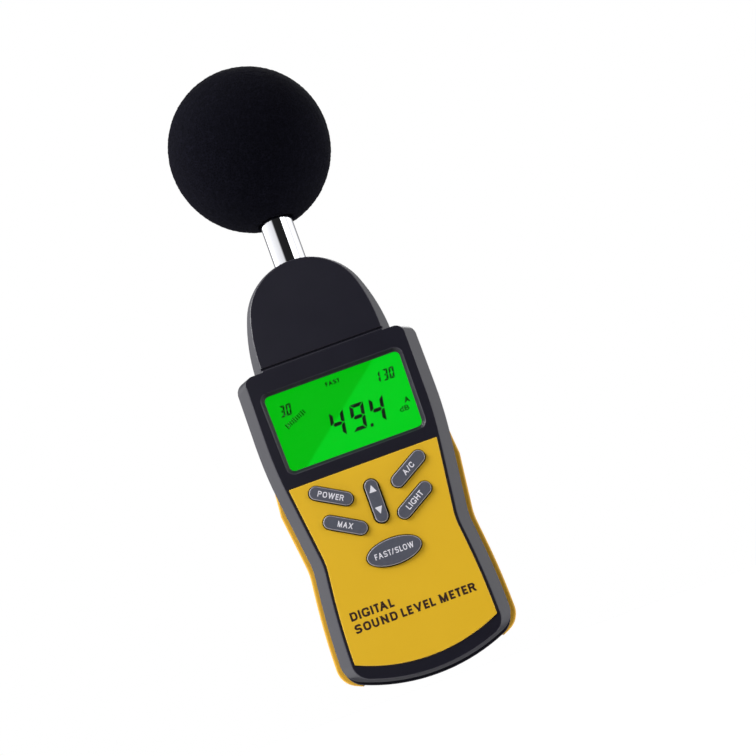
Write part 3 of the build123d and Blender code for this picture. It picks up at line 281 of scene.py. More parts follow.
def refined(frame: dict[str, Any], node: str, round_mm: float, least_turn_deg: float = 28.0) -> bpy.types.Mesh:
    """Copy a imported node, clean its facets and round its sharp outer edges.

    Args:
        node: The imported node's name.
        round_mm: The rounding's width.
        least_turn_deg: The smallest turn across an edge that gets a rounding.

    Returns:
        The finished mesh.
    """
    work = bmesh.new()
    work.from_mesh(frame["nodes"][node].data)
    bmesh.ops.remove_doubles(work, verts=work.verts, dist=2e-6)
    bmesh.ops.dissolve_limit(work, angle_limit=math.radians(0.05), verts=work.verts, edges=work.edges)
    weight = work.edges.layers.float.new("bevel_weight_edge")
    room = {f: 2 * f.calc_area() / max(f.calc_perimeter(), 1e-9) for f in work.faces}
    for face in work.faces:
        face.smooth = True
    for edge in work.edges:
        turn = edge.calc_face_angle(0.0)
        wide = len(edge.link_faces) == 2 and min(room[f] for f in edge.link_faces) > 0.6 * round_mm * MM
        if wide and edge.is_convex and turn > math.radians(least_turn_deg):
            edge[weight] = 1.0
        else:
            edge.smooth = turn < math.radians(least_turn_deg)
    mesh = bpy.data.meshes.new(node + "_refined")
    work.to_mesh(mesh)
    work.free()
    if "custom_normal" in mesh.attributes:
        mesh.attributes.remove(mesh.attributes["custom_normal"])
    for _ in range(2):
        mesh.materials.append(None)
    obj = linked(node + "_work", mesh)
    bevel = obj.modifiers.new("round", "BEVEL")
    bevel.material = 1
    bevel.limit_method = "WEIGHT"
    bevel.width = round_mm * MM
    bevel.segments = 3
    bevel.use_clamp_overlap = False
    return levelled(worn(plain_mesh(obj)))


def worn(mesh: bpy.types.Mesh) -> bpy.types.Mesh:
    """Mark the middle of each rounding, where handling wears it, and leave the flat faces clean.

    Args:
        mesh: A mesh whose roundings carry the second material slot, changed in place.

    Returns:
        The same mesh, with one slot and a face-corner attribute.
    """
    flat = {corner for face in mesh.polygons if face.material_index != 1 for corner in face.vertices}
    marks = [float(corner not in flat) for face in mesh.polygons for corner in face.vertices]
    mesh.attributes.new("worn", "FLOAT", "CORNER").data.foreach_set("value", marks)
    mesh.polygons.foreach_set("material_index", [0] * len(mesh.polygons))
    mesh.materials.clear()
    return mesh


def levelled(mesh: bpy.types.Mesh, blend_deg: float = 34.0) -> bpy.types.Mesh:
    """Let flat faces shade flat: each corner leans on the largest faces that meet it.

    Args:
        mesh: The mesh, changed in place.
        blend_deg: Faces that turn more than this from each other don't blend.

    Returns:
        The same mesh.
    """
    normals = [face.normal.copy() for face in mesh.polygons]
    weights = [face.area**2 for face in mesh.polygons]
    around: dict[int, list[int]] = {}
    for face in mesh.polygons:
        for corner in face.vertices:
            around.setdefault(corner, []).append(face.index)
    least = math.cos(math.radians(blend_deg))
    corners = []
    for face in mesh.polygons:
        own = normals[face.index]
        for corner in face.vertices:
            near = [other for other in around[corner] if normals[other].dot(own) > least]
            blend = sum((normals[other] * weights[other] for other in near), Vector())
            corners.append(blend.normalized() if blend.length > 0 else own)
    mesh.normals_split_custom_set(corners)
    return mesh


class NodeRecipe:
    """A geometry tree with named inputs, run once and turned into a plain mesh."""

    def __init__(self, name: str, inputs: dict[str, str]) -> None:
        """Make the tree and its sockets.

        Args:
            name: The tree's name.
            inputs: Each input's name and its socket kind, such as Float or Material.
        """
        self.name = name
        self.tree = bpy.data.node_groups.new(name, "GeometryNodeTree")
        face = self.tree.interface
        face.new_socket("Geometry", in_out="OUTPUT", socket_type="NodeSocketGeometry")
        self.keys = {
            label: face.new_socket(label, in_out="INPUT", socket_type=f"NodeSocket{kind}").identifier
            for label, kind in inputs.items()
        }
        self.given = add_node(self.tree, "NodeGroupInput").outputs

    def add(self, kind: str, values: Any = None, links: Any = None, **settings: Any) -> bpy.types.Node:
        """Add a node to this tree."""
        return add_node(self.tree, kind, values, links, **settings)

    def close(self, shape: bpy.types.NodeSocket) -> None:
        """End the tree: real meshes, with their material set."""
        real = self.add("GeometryNodeRealizeInstances", links={"Geometry": shape})
        painted = self.add(
            "GeometryNodeSetMaterial",
            links={"Geometry": real.outputs[0], "Material": self.given["Material"]},
        )
        self.add("NodeGroupOutput", links={"Geometry": painted.outputs[0]})

    def run(self, values: dict[str, Any], points: Sequence[Vector] = ()) -> bpy.types.Mesh:
        """Run the tree and keep only its mesh.

        Args:
            values: Each named input's value.
            points: Places that the tree works on, if it takes a geometry.

        Returns:
            The plain mesh.
        """
        obj = linked(self.name, mesh_of(self.name, points, []))
        modifier = obj.modifiers.new(self.name, "NODES")
        modifier.node_group = self.tree
        for label, value in values.items():
            modifier[self.keys[label]] = value
        return plain_mesh(obj)


# ------------------------------------------------------------------ finishes
@dataclass(frozen=True)
class Finish:
    """A surface as it is made: its colour, its gloss and a fine relief."""

    name: str
    colour: str
    second_colour: str | None = None  # where set, the colour drifts between the two
    drift_mm: float = 9.0
    roughness: float = 0.5
    rough_spread: float = 0.08
    metallic: float = 0.0
    grain_mm: float = 0.4
    grain_depth_mm: float = 0.01
    edge_wear: float = 0.0
    edge_colour: str = "8a8890"
    sheen: float = 0.0
    coat: float = 0.0
    specular: float = 0.5
    ior: float = 1.5

    def material(self) -> bpy.types.Material:
        """Build the material."""
        made = bpy.data.materials.new(self.name)
        made.use_nodes = True
        tree = made.node_tree
        shader = tree.nodes["Principled BSDF"]
        shader.inputs["Base Color"].default_value = linear(self.colour)
        shader.inputs["Metallic"].default_value = self.metallic
        shader.inputs["Sheen Weight"].default_value = self.sheen
        shader.inputs["Coat Weight"].default_value = self.coat
        shader.inputs["Specular IOR Level"].default_value = self.specular
        if not self.metallic:
            shader.inputs["IOR"].default_value = self.ior
        made.diffuse_color = linear(self.colour)
        where = add_node(tree, "ShaderNodeTexCoord").outputs["Object"]
        self.tint(tree, shader, where)
        self.gloss(tree, shader, where)
        self.relief(tree, shader, where)
        return made

    def tint(self, tree: bpy.types.NodeTree, shader: bpy.types.Node, where: bpy.types.NodeSocket) -> None:
        """Let the colour drift over the surface and pale along its worn edges."""
        if self.second_colour is None and not self.edge_wear:
            return
        drift = add_node(
            tree, "ShaderNodeTexNoise",
            {"Scale": per_size(self.drift_mm), "Detail": 4.0, "Roughness": 0.6}, {"Vector": where},
        )
        base = add_node(
            tree, "ShaderNodeMix",
            {6: linear(self.colour), 7: linear(self.second_colour or self.colour)},
            {"Factor": drift.outputs[0]}, data_type="RGBA",
        )
        colour = base.outputs[2]
        if self.edge_wear:
            edge = add_node(tree, "ShaderNodeAttribute", attribute_name="worn")
            pale = add_node(
                tree, "ShaderNodeMath", {1: self.edge_wear}, {0: edge.outputs["Fac"]}, operation="MULTIPLY"
            )
            mix = add_node(
                tree, "ShaderNodeMix", {7: linear(self.edge_colour)},
                {"Factor": pale.outputs[0], 6: colour}, data_type="RGBA",
            )
            colour = mix.outputs[2]
        tree.links.new(colour, shader.inputs["Base Color"])

    def gloss(self, tree: bpy.types.NodeTree, shader: bpy.types.Node, where: bpy.types.NodeSocket) -> None:
        """Let the gloss vary a little, as handling leaves it."""
        smear = add_node(
            tree, "ShaderNodeTexNoise",
            {"Scale": per_size(2.4 * self.drift_mm), "Detail": 3.0}, {"Vector": where},
        )
        spread = add_node(
            tree, "ShaderNodeMapRange",
            {
                "To Min": max(self.roughness - self.rough_spread, 0.02),
                "To Max": min(self.roughness + self.rough_spread, 1.0),
            },
            {"Value": smear.outputs[0]},
        )
        tree.links.new(spread.outputs[0], shader.inputs["Roughness"])

    def relief(self, tree: bpy.types.NodeTree, shader: bpy.types.Node, where: bpy.types.NodeSocket) -> None:
        """A fine even grain, as a spark-eroded mould leaves it."""
        if not self.grain_depth_mm:
            return
        grain = add_node(
            tree, "ShaderNodeTexNoise", {"Scale": per_size(self.grain_mm), "Detail": 2.0}, {"Vector": where}
        )
        bump = add_node(
            tree, "ShaderNodeBump", {"Strength": 1.0, "Distance": self.grain_depth_mm * MM},
            {"Height": grain.outputs[0]},
        )
        tree.links.new(bump.outputs[0], shader.inputs["Normal"])


@dataclass(frozen=True)
class TurnedFinish(Finish):
    """Metal from a lathe: fine rings round its axis."""

    ring_mm: float = 0.5
    ring_depth_mm: float = 0.004

    def relief(self, tree: bpy.types.NodeTree, shader: bpy.types.Node, where: bpy.types.NodeSocket) -> None:
        """Rings along the axis, drawn coarser than the tool leaves them so that they show."""
        wave = add_node(
            tree, "ShaderNodeTexWave",
            {"Scale": per_size(self.ring_mm) / 6.3, "Distortion": 0.4, "Detail": 1.0}, {"Vector": where},
            bands_direction="Z",
        )
        bump = add_node(
            tree, "ShaderNodeBump", {"Strength": 0.6, "Distance": self.ring_depth_mm * MM},
            {"Height": wave.outputs["Fac"]},
        )
        tree.links.new(bump.outputs[0], shader.inputs["Normal"])


@dataclass(frozen=True)
class FoamFinish(Finish):
    """Open-cell polyurethane foam: dark cells, with a painted highlight on the struts between them."""

    # painted highlight: the pale colour of the struts that catch the light
    strut_glint_colour: str = "1d1d29"
    cell_mm: float = 0.85

    def tint(self, tree: bpy.types.NodeTree, shader: bpy.types.Node, where: bpy.types.NodeSocket) -> None:
        """Pale struts where two cells meet, a painted highlight broken up so that only some catch the light."""
        cells = add_node(
            tree, "ShaderNodeTexVoronoi", {"Scale": per_size(self.cell_mm)}, {"Vector": where},
            feature="DISTANCE_TO_EDGE",
        )
        strut = add_node(
            tree, "ShaderNodeMapRange", {"From Min": 0.0, "From Max": 0.16, "To Min": 0.75, "To Max": 0.0},
            {"Value": cells.outputs["Distance"]},
        )
        patch = add_node(
            tree, "ShaderNodeTexNoise", {"Scale": per_size(2.6 * self.cell_mm), "Detail": 3.0}, {"Vector": where}
        )
        lit = add_node(
            tree, "ShaderNodeMath", links={0: strut.outputs[0], 1: patch.outputs[0]}, operation="MULTIPLY"
        )
        # the pale struts are a painted highlight
        mix = add_node(
            tree, "ShaderNodeMix", {6: linear(self.colour), 7: linear(self.strut_glint_colour)},
            {"Factor": lit.outputs[0]}, data_type="RGBA",
        )
        tree.links.new(mix.outputs[2], shader.inputs["Base Color"])


@dataclass(frozen=True)
class KeyFinish(Finish):
    """A lacquered rubber key, with a painted highlight: a pale band round the rim of its top."""

    # painted highlight: the pale colour of the band round the top's rim
    rim_highlight_colour: str = "a9a7b0"
    top_y_mm: float = -35.6
    rim_highlight_mm: float = 0.42

    def tint(self, tree: bpy.types.NodeTree, shader: bpy.types.Node, where: bpy.types.NodeSocket) -> None:
        """A painted highlight as a pale band just under the top face, on the rounding, turning darker down the sides
        below it.
        """
        parts = add_node(tree, "ShaderNodeSeparateXYZ", links={0: where})
        below = add_node(
            tree, "ShaderNodeMapRange",
            {"From Min": self.top_y_mm * MM, "From Max": (self.top_y_mm + 2 * self.rim_highlight_mm) * MM},
            {"Value": parts.outputs["Y"]},
        )
        band = add_node(tree, "ShaderNodeValToRGB", links={"Fac": below.outputs[0]})
        # the pale stops are a painted highlight on the rounding; the last stop darkens the sides
        stops = ((0.0, self.colour), (0.06, self.colour), (0.18, self.rim_highlight_colour), (0.5, self.rim_highlight_colour),
                 (0.9, self.second_colour or self.colour))
        elements = band.color_ramp.elements
        while len(elements) < len(stops):
            elements.new(0.5)
        for element, (place, colour) in zip(elements, stops):
            element.position = place
            element.color = linear(colour)
        drift = add_node(
            tree, "ShaderNodeTexNoise", {"Scale": per_size(self.drift_mm), "Detail": 4.0}, {"Vector": where}
        )
        speck = add_node(
            tree, "ShaderNodeMapRange", {"To Min": 0.86, "To Max": 1.14}, {"Value": drift.outputs[0]}
        )
        shade_of = add_node(
            tree, "ShaderNodeMix", {"Factor": 1.0}, {6: band.outputs[0], 7: speck.outputs[0]},
            data_type="RGBA", blend_type="MULTIPLY",
        )
        tree.links.new(shade_of.outputs[2], shader.inputs["Base Color"])


@dataclass(frozen=True)
class BandedFinish(Finish):
    """A battery's lacquered jacket: a copper-coloured band round its terminal end."""

    band_colour: str = "b0682c"
    band_from_mm: float = 0.0  # height of the band's lower edge
    band_to_mm: float = 1.0

    def tint(self, tree: bpy.types.NodeTree, shader: bpy.types.Node, where: bpy.types.NodeSocket) -> None:
        """Two lacquers with one clean edge between them."""
        parts = add_node(tree, "ShaderNodeSeparateXYZ", links={0: where})
        above = add_node(
            tree, "ShaderNodeMapRange",
            {"From Min": (self.band_from_mm - 0.05) * MM, "From Max": (self.band_from_mm + 0.05) * MM},
            {"Value": parts.outputs["Z"]},
        )
        drift = add_node(
            tree, "ShaderNodeTexNoise", {"Scale": per_size(self.drift_mm), "Detail": 3.0}, {"Vector": where}
        )
        lacquer = add_node(
            tree, "ShaderNodeMix", {6: linear(self.colour), 7: linear(self.second_colour or self.colour)},
            {"Factor": drift.outputs[0]}, data_type="RGBA",
        )
        mix = add_node(
            tree, "ShaderNodeMix", {7: linear(self.band_colour)},
            {"Factor": above.outputs[0], 6: lacquer.outputs[2]}, data_type="RGBA",
        )
        tree.links.new(mix.outputs[2], shader.inputs["Base Color"])


@dataclass(frozen=True)
class BoardFinish(Finish):
    """Solder mask over copper tracks: paler green where a track runs under it."""

    track_colour: str = "1f7a46"
    track_mm: float = 2.6

    def tint(self, tree: bpy.types.NodeTree, shader: bpy.types.Node, where: bpy.types.NodeSocket) -> None:
        """Straight tracks at right angles, from the edges of square cells."""
        cells = add_node(
            tree, "ShaderNodeTexVoronoi", {"Scale": per_size(self.track_mm), "Randomness": 0.75},
            {"Vector": where}, distance="CHEBYCHEV", feature="F1",
        )
        track = add_node(
            tree, "ShaderNodeMapRange", {"From Min": 0.44, "From Max": 0.47, "To Min": 0.0, "To Max": 1.0},
            {"Value": cells.outputs["Distance"]},
        )
        mix = add_node(
            tree, "ShaderNodeMix", {6: linear(self.colour), 7: linear(self.track_colour)},
            {"Factor": track.outputs[0]}, data_type="RGBA",
        )
        tree.links.new(mix.outputs[2], shader.inputs["Base Color"])


@dataclass(frozen=True)
class ClearFinish(Finish):
    """Polished clear sheet, such as acrylic or glass."""

    def tint(self, tree: bpy.types.NodeTree, shader: bpy.types.Node, where: bpy.types.NodeSocket) -> None:
        """Let the light through."""
        shader.inputs["Transmission Weight"].default_value = 1.0

    def relief(self, tree: bpy.types.NodeTree, shader: bpy.types.Node, where: bpy.types.NodeSocket) -> None:
        """A clear sheet is flat: no relief."""


@dataclass(frozen=True)
class LitFinish(Finish):
    """The display's lit field: a light guide glows through it, split into two even tones by a painted reflection."""

    # painted reflection: the brighter of the two tones, on one side of the slanting edge
    reflection_tone_colour: str = "00d41c"
    glow: float = 1.0
    reflection_edge_x_mm: float = -2.4  # where the painted reflection's edge runs, at the display's middle height
    reflection_edge_z_mm: float = 20.1
    reflection_edge_turn_deg: float = 39.0
    reflection_edge_soft_mm: float = 0.25

    def tint(self, tree: bpy.types.NodeTree, shader: bpy.types.Node, where: bpy.types.NodeSocket) -> None:
        """Two tones that meet along a slanting line: a painted reflection across the glow."""
        turned = add_node(
            tree, "ShaderNodeMapping",
            {
                "Location": (self.reflection_edge_x_mm * MM, 0.0, self.reflection_edge_z_mm * MM),
                "Rotation": (0.0, -math.radians(self.reflection_edge_turn_deg), 0.0),
            },
            {"Vector": where}, vector_type="TEXTURE",
        )
        parts = add_node(tree, "ShaderNodeSeparateXYZ", links={0: turned.outputs[0]})
        side = add_node(
            tree, "ShaderNodeMapRange",
            {"From Min": -self.reflection_edge_soft_mm * MM, "From Max": self.reflection_edge_soft_mm * MM}, {"Value": parts.outputs["Z"]},
        )
        # the two tones are a painted reflection on the lit field
        tone = add_node(
            tree, "ShaderNodeMix", {6: linear(self.reflection_tone_colour), 7: linear(self.colour)},
            {"Factor": side.outputs[0]}, data_type="RGBA",
        )
        tree.links.new(tone.outputs[2], shader.inputs["Emission Color"])
        shader.inputs["Emission Strength"].default_value = self.glow
        shader.inputs["Base Color"].default_value = linear("000400")


FINISHES: dict[str, Finish] = {
    # injection-moulded ABS from a fine-sparked mould: blue-black, satin, pale on handled edges
    "case": Finish(
        "case_abs_spark_textured", "15141f", "181724", roughness=0.38, rough_spread=0.04,
        grain_mm=0.22, grain_depth_mm=0.005, edge_wear=0.25, edge_colour="66636d",
    ),
    # the yellow face insert: moulded ABS, a little smoother than the case
    "panel": Finish(
        "panel_abs_satin", "eabb26", "e6b620", drift_mm=22.0, roughness=0.42, rough_spread=0.05,
        grain_mm=0.3, grain_depth_mm=0.004, edge_wear=0.2, edge_colour="f0c660",
    ),
    # thermoplastic rubber, over-moulded: warmer, soft, with a dusty sheen
    "grip": Finish(
        "grip_soft_elastomer", "dfa91e", "d9a216", drift_mm=12.0, roughness=0.62, rough_spread=0.08,
        grain_mm=0.5, grain_depth_mm=0.015, sheen=0.15,
    ),
    # compression-moulded silicone rubber with a lacquered top
    "key": KeyFinish(
        "key_silicone_lacquered", "545661", "282a31", drift_mm=0.9, roughness=0.42, rough_spread=0.06,
        grain_mm=0.25, grain_depth_mm=0.006,
    ),
    "mat": Finish("mat_silicone_moulded", "a3a6ab", "989ba1", roughness=0.6, grain_depth_mm=0.008, sheen=0.1),
    "carbon": Finish("pill_carbon_loaded_rubber", "141416", "1d1d20", roughness=0.7, grain_depth_mm=0.02),
    # pad-printed ink: flat colour with a faint unevenness of the film
    "white_ink": Finish(
        "ink_pad_printed_white", "eceaf0", "dcdae2", drift_mm=1.5, roughness=0.55, grain_depth_mm=0.003
    ),
    "dark_ink": Finish(
        "ink_pad_printed_brown_black", "2c140c", "341a10", drift_mm=1.5, roughness=0.5, grain_depth_mm=0.003
    ),
    "segment": Finish(
        "segment_dyed_liquid_crystal", "000a02", "001204", roughness=0.6, grain_depth_mm=0.0, grain_mm=0.2
    ),
    "lens": ClearFinish("lens_cast_acrylic", "ffffff", roughness=0.03, rough_spread=0.01, ior=1.49),
    # the lit field glows, with a painted reflection splitting it into two tones
    "lit": LitFinish("display_lit_twisted_nematic", "00c00c", roughness=0.25, rough_spread=0.04, grain_depth_mm=0.0),
    "glass": Finish(
        "glass_float_with_polariser", "3f5a3c", "3a5538", roughness=0.12, grain_depth_mm=0.0, coat=0.5
    ),
    "guide": Finish("guide_frosted_acrylic", "bfe6b8", "b3dcae", roughness=0.35, grain_depth_mm=0.004),
    "led": Finish("led_moulded_epoxy", "efe7b4", "e6dca0", roughness=0.3, grain_depth_mm=0.002),
    "frame": Finish("frame_moulded_abs", "7c7d82", "74757a", roughness=0.5, grain_depth_mm=0.008),
    # open-cell polyurethane, black, hot-moulded into a ball
    "foam": FoamFinish(
        "foam_open_cell_polyurethane", "08080e", roughness=0.95, rough_spread=0.04,
        grain_mm=0.35, grain_depth_mm=0.12, specular=0.03,
    ),
    # the pad's pale struts are a painted highlight too
    "pad": FoamFinish(
        "pad_closed_cell_neoprene", "101013", roughness=0.95, strut_glint_colour="2b2b30", cell_mm=0.7,
        grain_mm=0.3, grain_depth_mm=0.06,
    ),
    # bright nickel-chromium over brass: mirror-like, a breath of haze from handling
    "chrome": Finish(
        "tube_bright_chromium_plate", "f2f3f5", "ecedf0", drift_mm=14.0, roughness=0.06, rough_spread=0.02,
        metallic=1.0, grain_mm=3.0, grain_depth_mm=0.0008,
    ),
    "capsule": TurnedFinish(
        "capsule_turned_stainless_steel", "c9c8c6", "bdbcbb", drift_mm=3.0, roughness=0.24, metallic=1.0,
        ring_mm=0.45, ring_depth_mm=0.01,
    ),
    "brass": TurnedFinish(
        "bush_turned_brass", "c9a25a", "b98f49", drift_mm=2.5, roughness=0.28, metallic=1.0,
        ring_mm=0.4, ring_depth_mm=0.006,
    ),
    "screw": Finish(
        "screw_black_zinc_steel", "4a4a50", "5c5c63", drift_mm=1.2, roughness=0.36, metallic=1.0,
        grain_mm=0.2, grain_depth_mm=0.006, edge_wear=0.7, edge_colour="b9b9be",
    ),
    "acetal": Finish("sleeve_turned_acetal", "3a3a3e", "333337", roughness=0.45, grain_depth_mm=0.006),
    "board": BoardFinish("board_green_solder_mask", "0d4526", roughness=0.3, grain_mm=0.8, grain_depth_mm=0.01),
    "chip": Finish("chip_moulded_epoxy", "1a1a1c", "202023", drift_mm=2.0, roughness=0.6, grain_depth_mm=0.012),
    "solder": Finish(
        "solder_tin", "c8c8cc", "b4b4b9", drift_mm=0.8, roughness=0.3, metallic=1.0, grain_depth_mm=0.01
    ),
    "can": Finish(
        "can_drawn_aluminium", "c3c4c8", "b6b7bc", drift_mm=1.5, roughness=0.33, metallic=1.0,
        grain_mm=0.15, grain_depth_mm=0.004,
    ),
    "can_sleeve": Finish("can_vinyl_sleeve", "20242e", "262b37", roughness=0.35, grain_depth_mm=0.004),
    "trimmer": Finish("trimmer_moulded_polyester", "1b4fa0", "184a97", roughness=0.45, grain_depth_mm=0.006),
    "rotor": Finish("rotor_moulded_nylon", "e4e2da", "dad8cf", roughness=0.5, grain_depth_mm=0.006),
    "label": Finish(
        "label_printed_polyester_film", "a9abb0", "a2a4aa", drift_mm=6.0, roughness=0.34, grain_mm=0.3,
        grain_depth_mm=0.004, metallic=0.0, coat=0.2,
    ),
    "jacket": BandedFinish(
        "battery_lacquered_steel_jacket", "1d1f24", "23262c", drift_mm=12.0, roughness=0.26,
        grain_mm=1.0, grain_depth_mm=0.004, coat=0.4, band_from_mm=-34.0,
    ),
    "nickel": Finish(
        "terminal_nickel_plate", "c9c7c0", "bdbab2", drift_mm=1.2, roughness=0.22, metallic=1.0, grain_depth_mm=0.004
    ),
    "snap": Finish("snap_moulded_vinyl", "161618", "1e1e20", roughness=0.42, grain_depth_mm=0.01),
    "red_lead": Finish("lead_red_vinyl", "b3201c", "a81a17", drift_mm=3.0, roughness=0.38, grain_depth_mm=0.004),
    "black_lead": Finish("lead_black_vinyl", "17171a", "1e1e21", drift_mm=3.0, roughness=0.38, grain_depth_mm=0.004),
    "grey_lead": Finish("lead_grey_vinyl", "6d6e72", "66676b", drift_mm=3.0, roughness=0.42, grain_depth_mm=0.004),
}


class Paints:
    """The materials, each built once when it is first asked for."""

    def __init__(self) -> None:
        """Start with none built."""
        self.built: dict[str, bpy.types.Material] = {}

    def __getitem__(self, key: str) -> bpy.types.Material:
        """The material for a finish."""
        if key not in self.built:
            self.built[key] = FINISHES[key].material()
        return self.built[key]


@dataclass
class SubAssembly:
    """What every group of pieces needs: the frame and the materials."""

    frame: dict[str, Any]
    paints: Paints

    def dress_all(self, finishes: dict[str, str]) -> None:
        """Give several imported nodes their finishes.

        Args:
            finishes: Each node's name and its finish's key.
        """
        for node, key in finishes.items():
            dress(self.frame, node, self.paints[key])


# ------------------------------------------------------------------ lettering
class Anchor(Enum):
    """Which point of a word its place gives."""

    LEFT = "left"
    MIDDLE = "middle"


@dataclass(frozen=True)
class Letter:
    """One plain capital as pen strokes on a grid.

    A stroke is a row of points: x from 0 to 8 across the letter, then z from 0 to 6 up its
    cap height, then an r where the corner is round. A stroke that ends in "o" is closed.
    """

    width: float  # the grid's real width, in sixths of the cap height
    strokes: tuple[str, ...]


LETTERS = {
    "A": Letter(4.7, ("00 46", "46 80", "12 72")),
    "B": Letter(4.0, ("03 00 80r 83r 03 06 76r 73r 03",)),
    "C": Letter(4.3, ("84 86r 06r 00r 80r 82",)),
    "D": Letter(4.2, ("00 06 86r 80r o",)),
    "E": Letter(3.5, ("80 00 06 86", "03 73")),
    "F": Letter(3.4, ("00 06 86", "03 73")),
    "G": Letter(4.8, ("84 86r 06r 00r 80r 82 52",)),
    "H": Letter(4.1, ("00 06", "80 86", "03 83")),
    "I": Letter(0.0, ("00 06",)),
    "L": Letter(3.3, ("06 00 80",)),
    "M": Letter(5.2, ("00 06", "06 40", "40 86", "86 80")),
    "N": Letter(4.2, ("00 06", "06 80", "80 86")),
    "O": Letter(4.6, ("06r 86r 80r 00r o",)),
    "P": Letter(3.8, ("00 06 86r 83r 03",)),
    "R": Letter(4.0, ("00 06 86r 83r 03", "53 80")),
    "S": Letter(3.9, ("85 86r 06r 03r 83r 80r 00r 01",)),
    "T": Letter(4.2, ("06 86", "46 40")),
    "U": Letter(4.1, ("06 00r 80r 86",)),
    "V": Letter(4.7, ("06 40", "40 86")),
    "W": Letter(7.2, ("06 20", "20 46", "46 60", "60 86")),
    "X": Letter(4.4, ("00 86", "06 80")),
    "/": Letter(2.2, ("00 86",)),
    "d": Letter(3.4, ("80 86", "84 04r 00r 80")),
}
CAP_UNITS = 6.0
CLOSER = {"TA": 1.3, "T/": 0.5, "A/": 0.4, "/C": 0.3}  # pairs that are set closer, in grid units


@dataclass(frozen=True)
class Pen:
    """A flat pen that turns a stroke into a ribbon of even width."""

    width: float
    corner: float = 1.9  # radius of a round corner's middle line
    steps: int = 7
    longest_join: float = 1.5  # how far a sharp join may reach, in half widths

    def path(self, stroke: str, scale: float) -> tuple[list[Vector], bool]:
        """Read a stroke and round its marked corners.

        Args:
            stroke: The stroke's points.
            scale: Real width of one step across.

        Returns:
            The points, and whether the stroke is closed.
        """
        marks = stroke.split()
        closed = marks[-1] == "o"
        marks = marks[:-1] if closed else marks
        corners = [Vector((int(m[0]) * scale, float(m[1]))) for m in marks]
        points = []
        for number, (mark, here) in enumerate(zip(marks, corners)):
            if not mark.endswith("r"):
                points.append(here)
                continue
            back = corners[number - 1] - here
            ahead = corners[(number + 1) % len(corners)] - here
            reach = min(self.corner, back.length / 2, ahead.length / 2)
            start, end = here + back.normalized() * reach, here + ahead.normalized() * reach
            for step in range(self.steps + 1):
                t = step / self.steps * math.pi / 2
                points.append(start + (here - start) * math.sin(t) + (end - here) * (1 - math.cos(t)))
        return points, closed

    def run_out(self, end: Vector, inner: Vector) -> Vector:
        """Carry a stroke's end past the base line or the cap line by half its width."""
        if end.y not in (0.0, CAP_UNITS) or abs(end.y - inner.y) < 0.5:
            return end
        return end + (end - inner) * (self.width / 2 / abs(end.y - inner.y))

    def ribbon(self, points: Sequence[Vector], closed: bool) -> tuple[list[Vector], list[Vector]]:
        """Offset a path to both sides, with a lone slanting stroke's ends cut level."""
        half = self.width / 2
        if not closed:
            first, last = self.run_out(points[0], points[1]), self.run_out(points[-1], points[-2])
            points = [first, *points[1:-1], last]
            run = (last - first).normalized()
            if len(points) == 2 and abs(run.y) > 0.3:
                aside = Vector((-math.copysign(half / abs(run.y), run.y), 0.0))
                return [p + aside for p in points], [p - aside for p in points]
        count = len(points)
        left, right = [], []
        for number, here in enumerate(points):
            before = points[number - 1] if closed or number else None
            after = points[(number + 1) % count] if closed or number < count - 1 else None
            runs = [(here - before).normalized()] if before is not None else []
            runs += [(after - here).normalized()] if after is not None else []
            sides = [Vector((-run.y, run.x)) for run in runs]
            middle = sum(sides, Vector((0.0, 0.0))).normalized()
            stretch = min(1 / max(middle.dot(sides[0]), 0.1), self.longest_join)
            left.append(here + middle * half * stretch)
            right.append(here - middle * half * stretch)
        return left, right


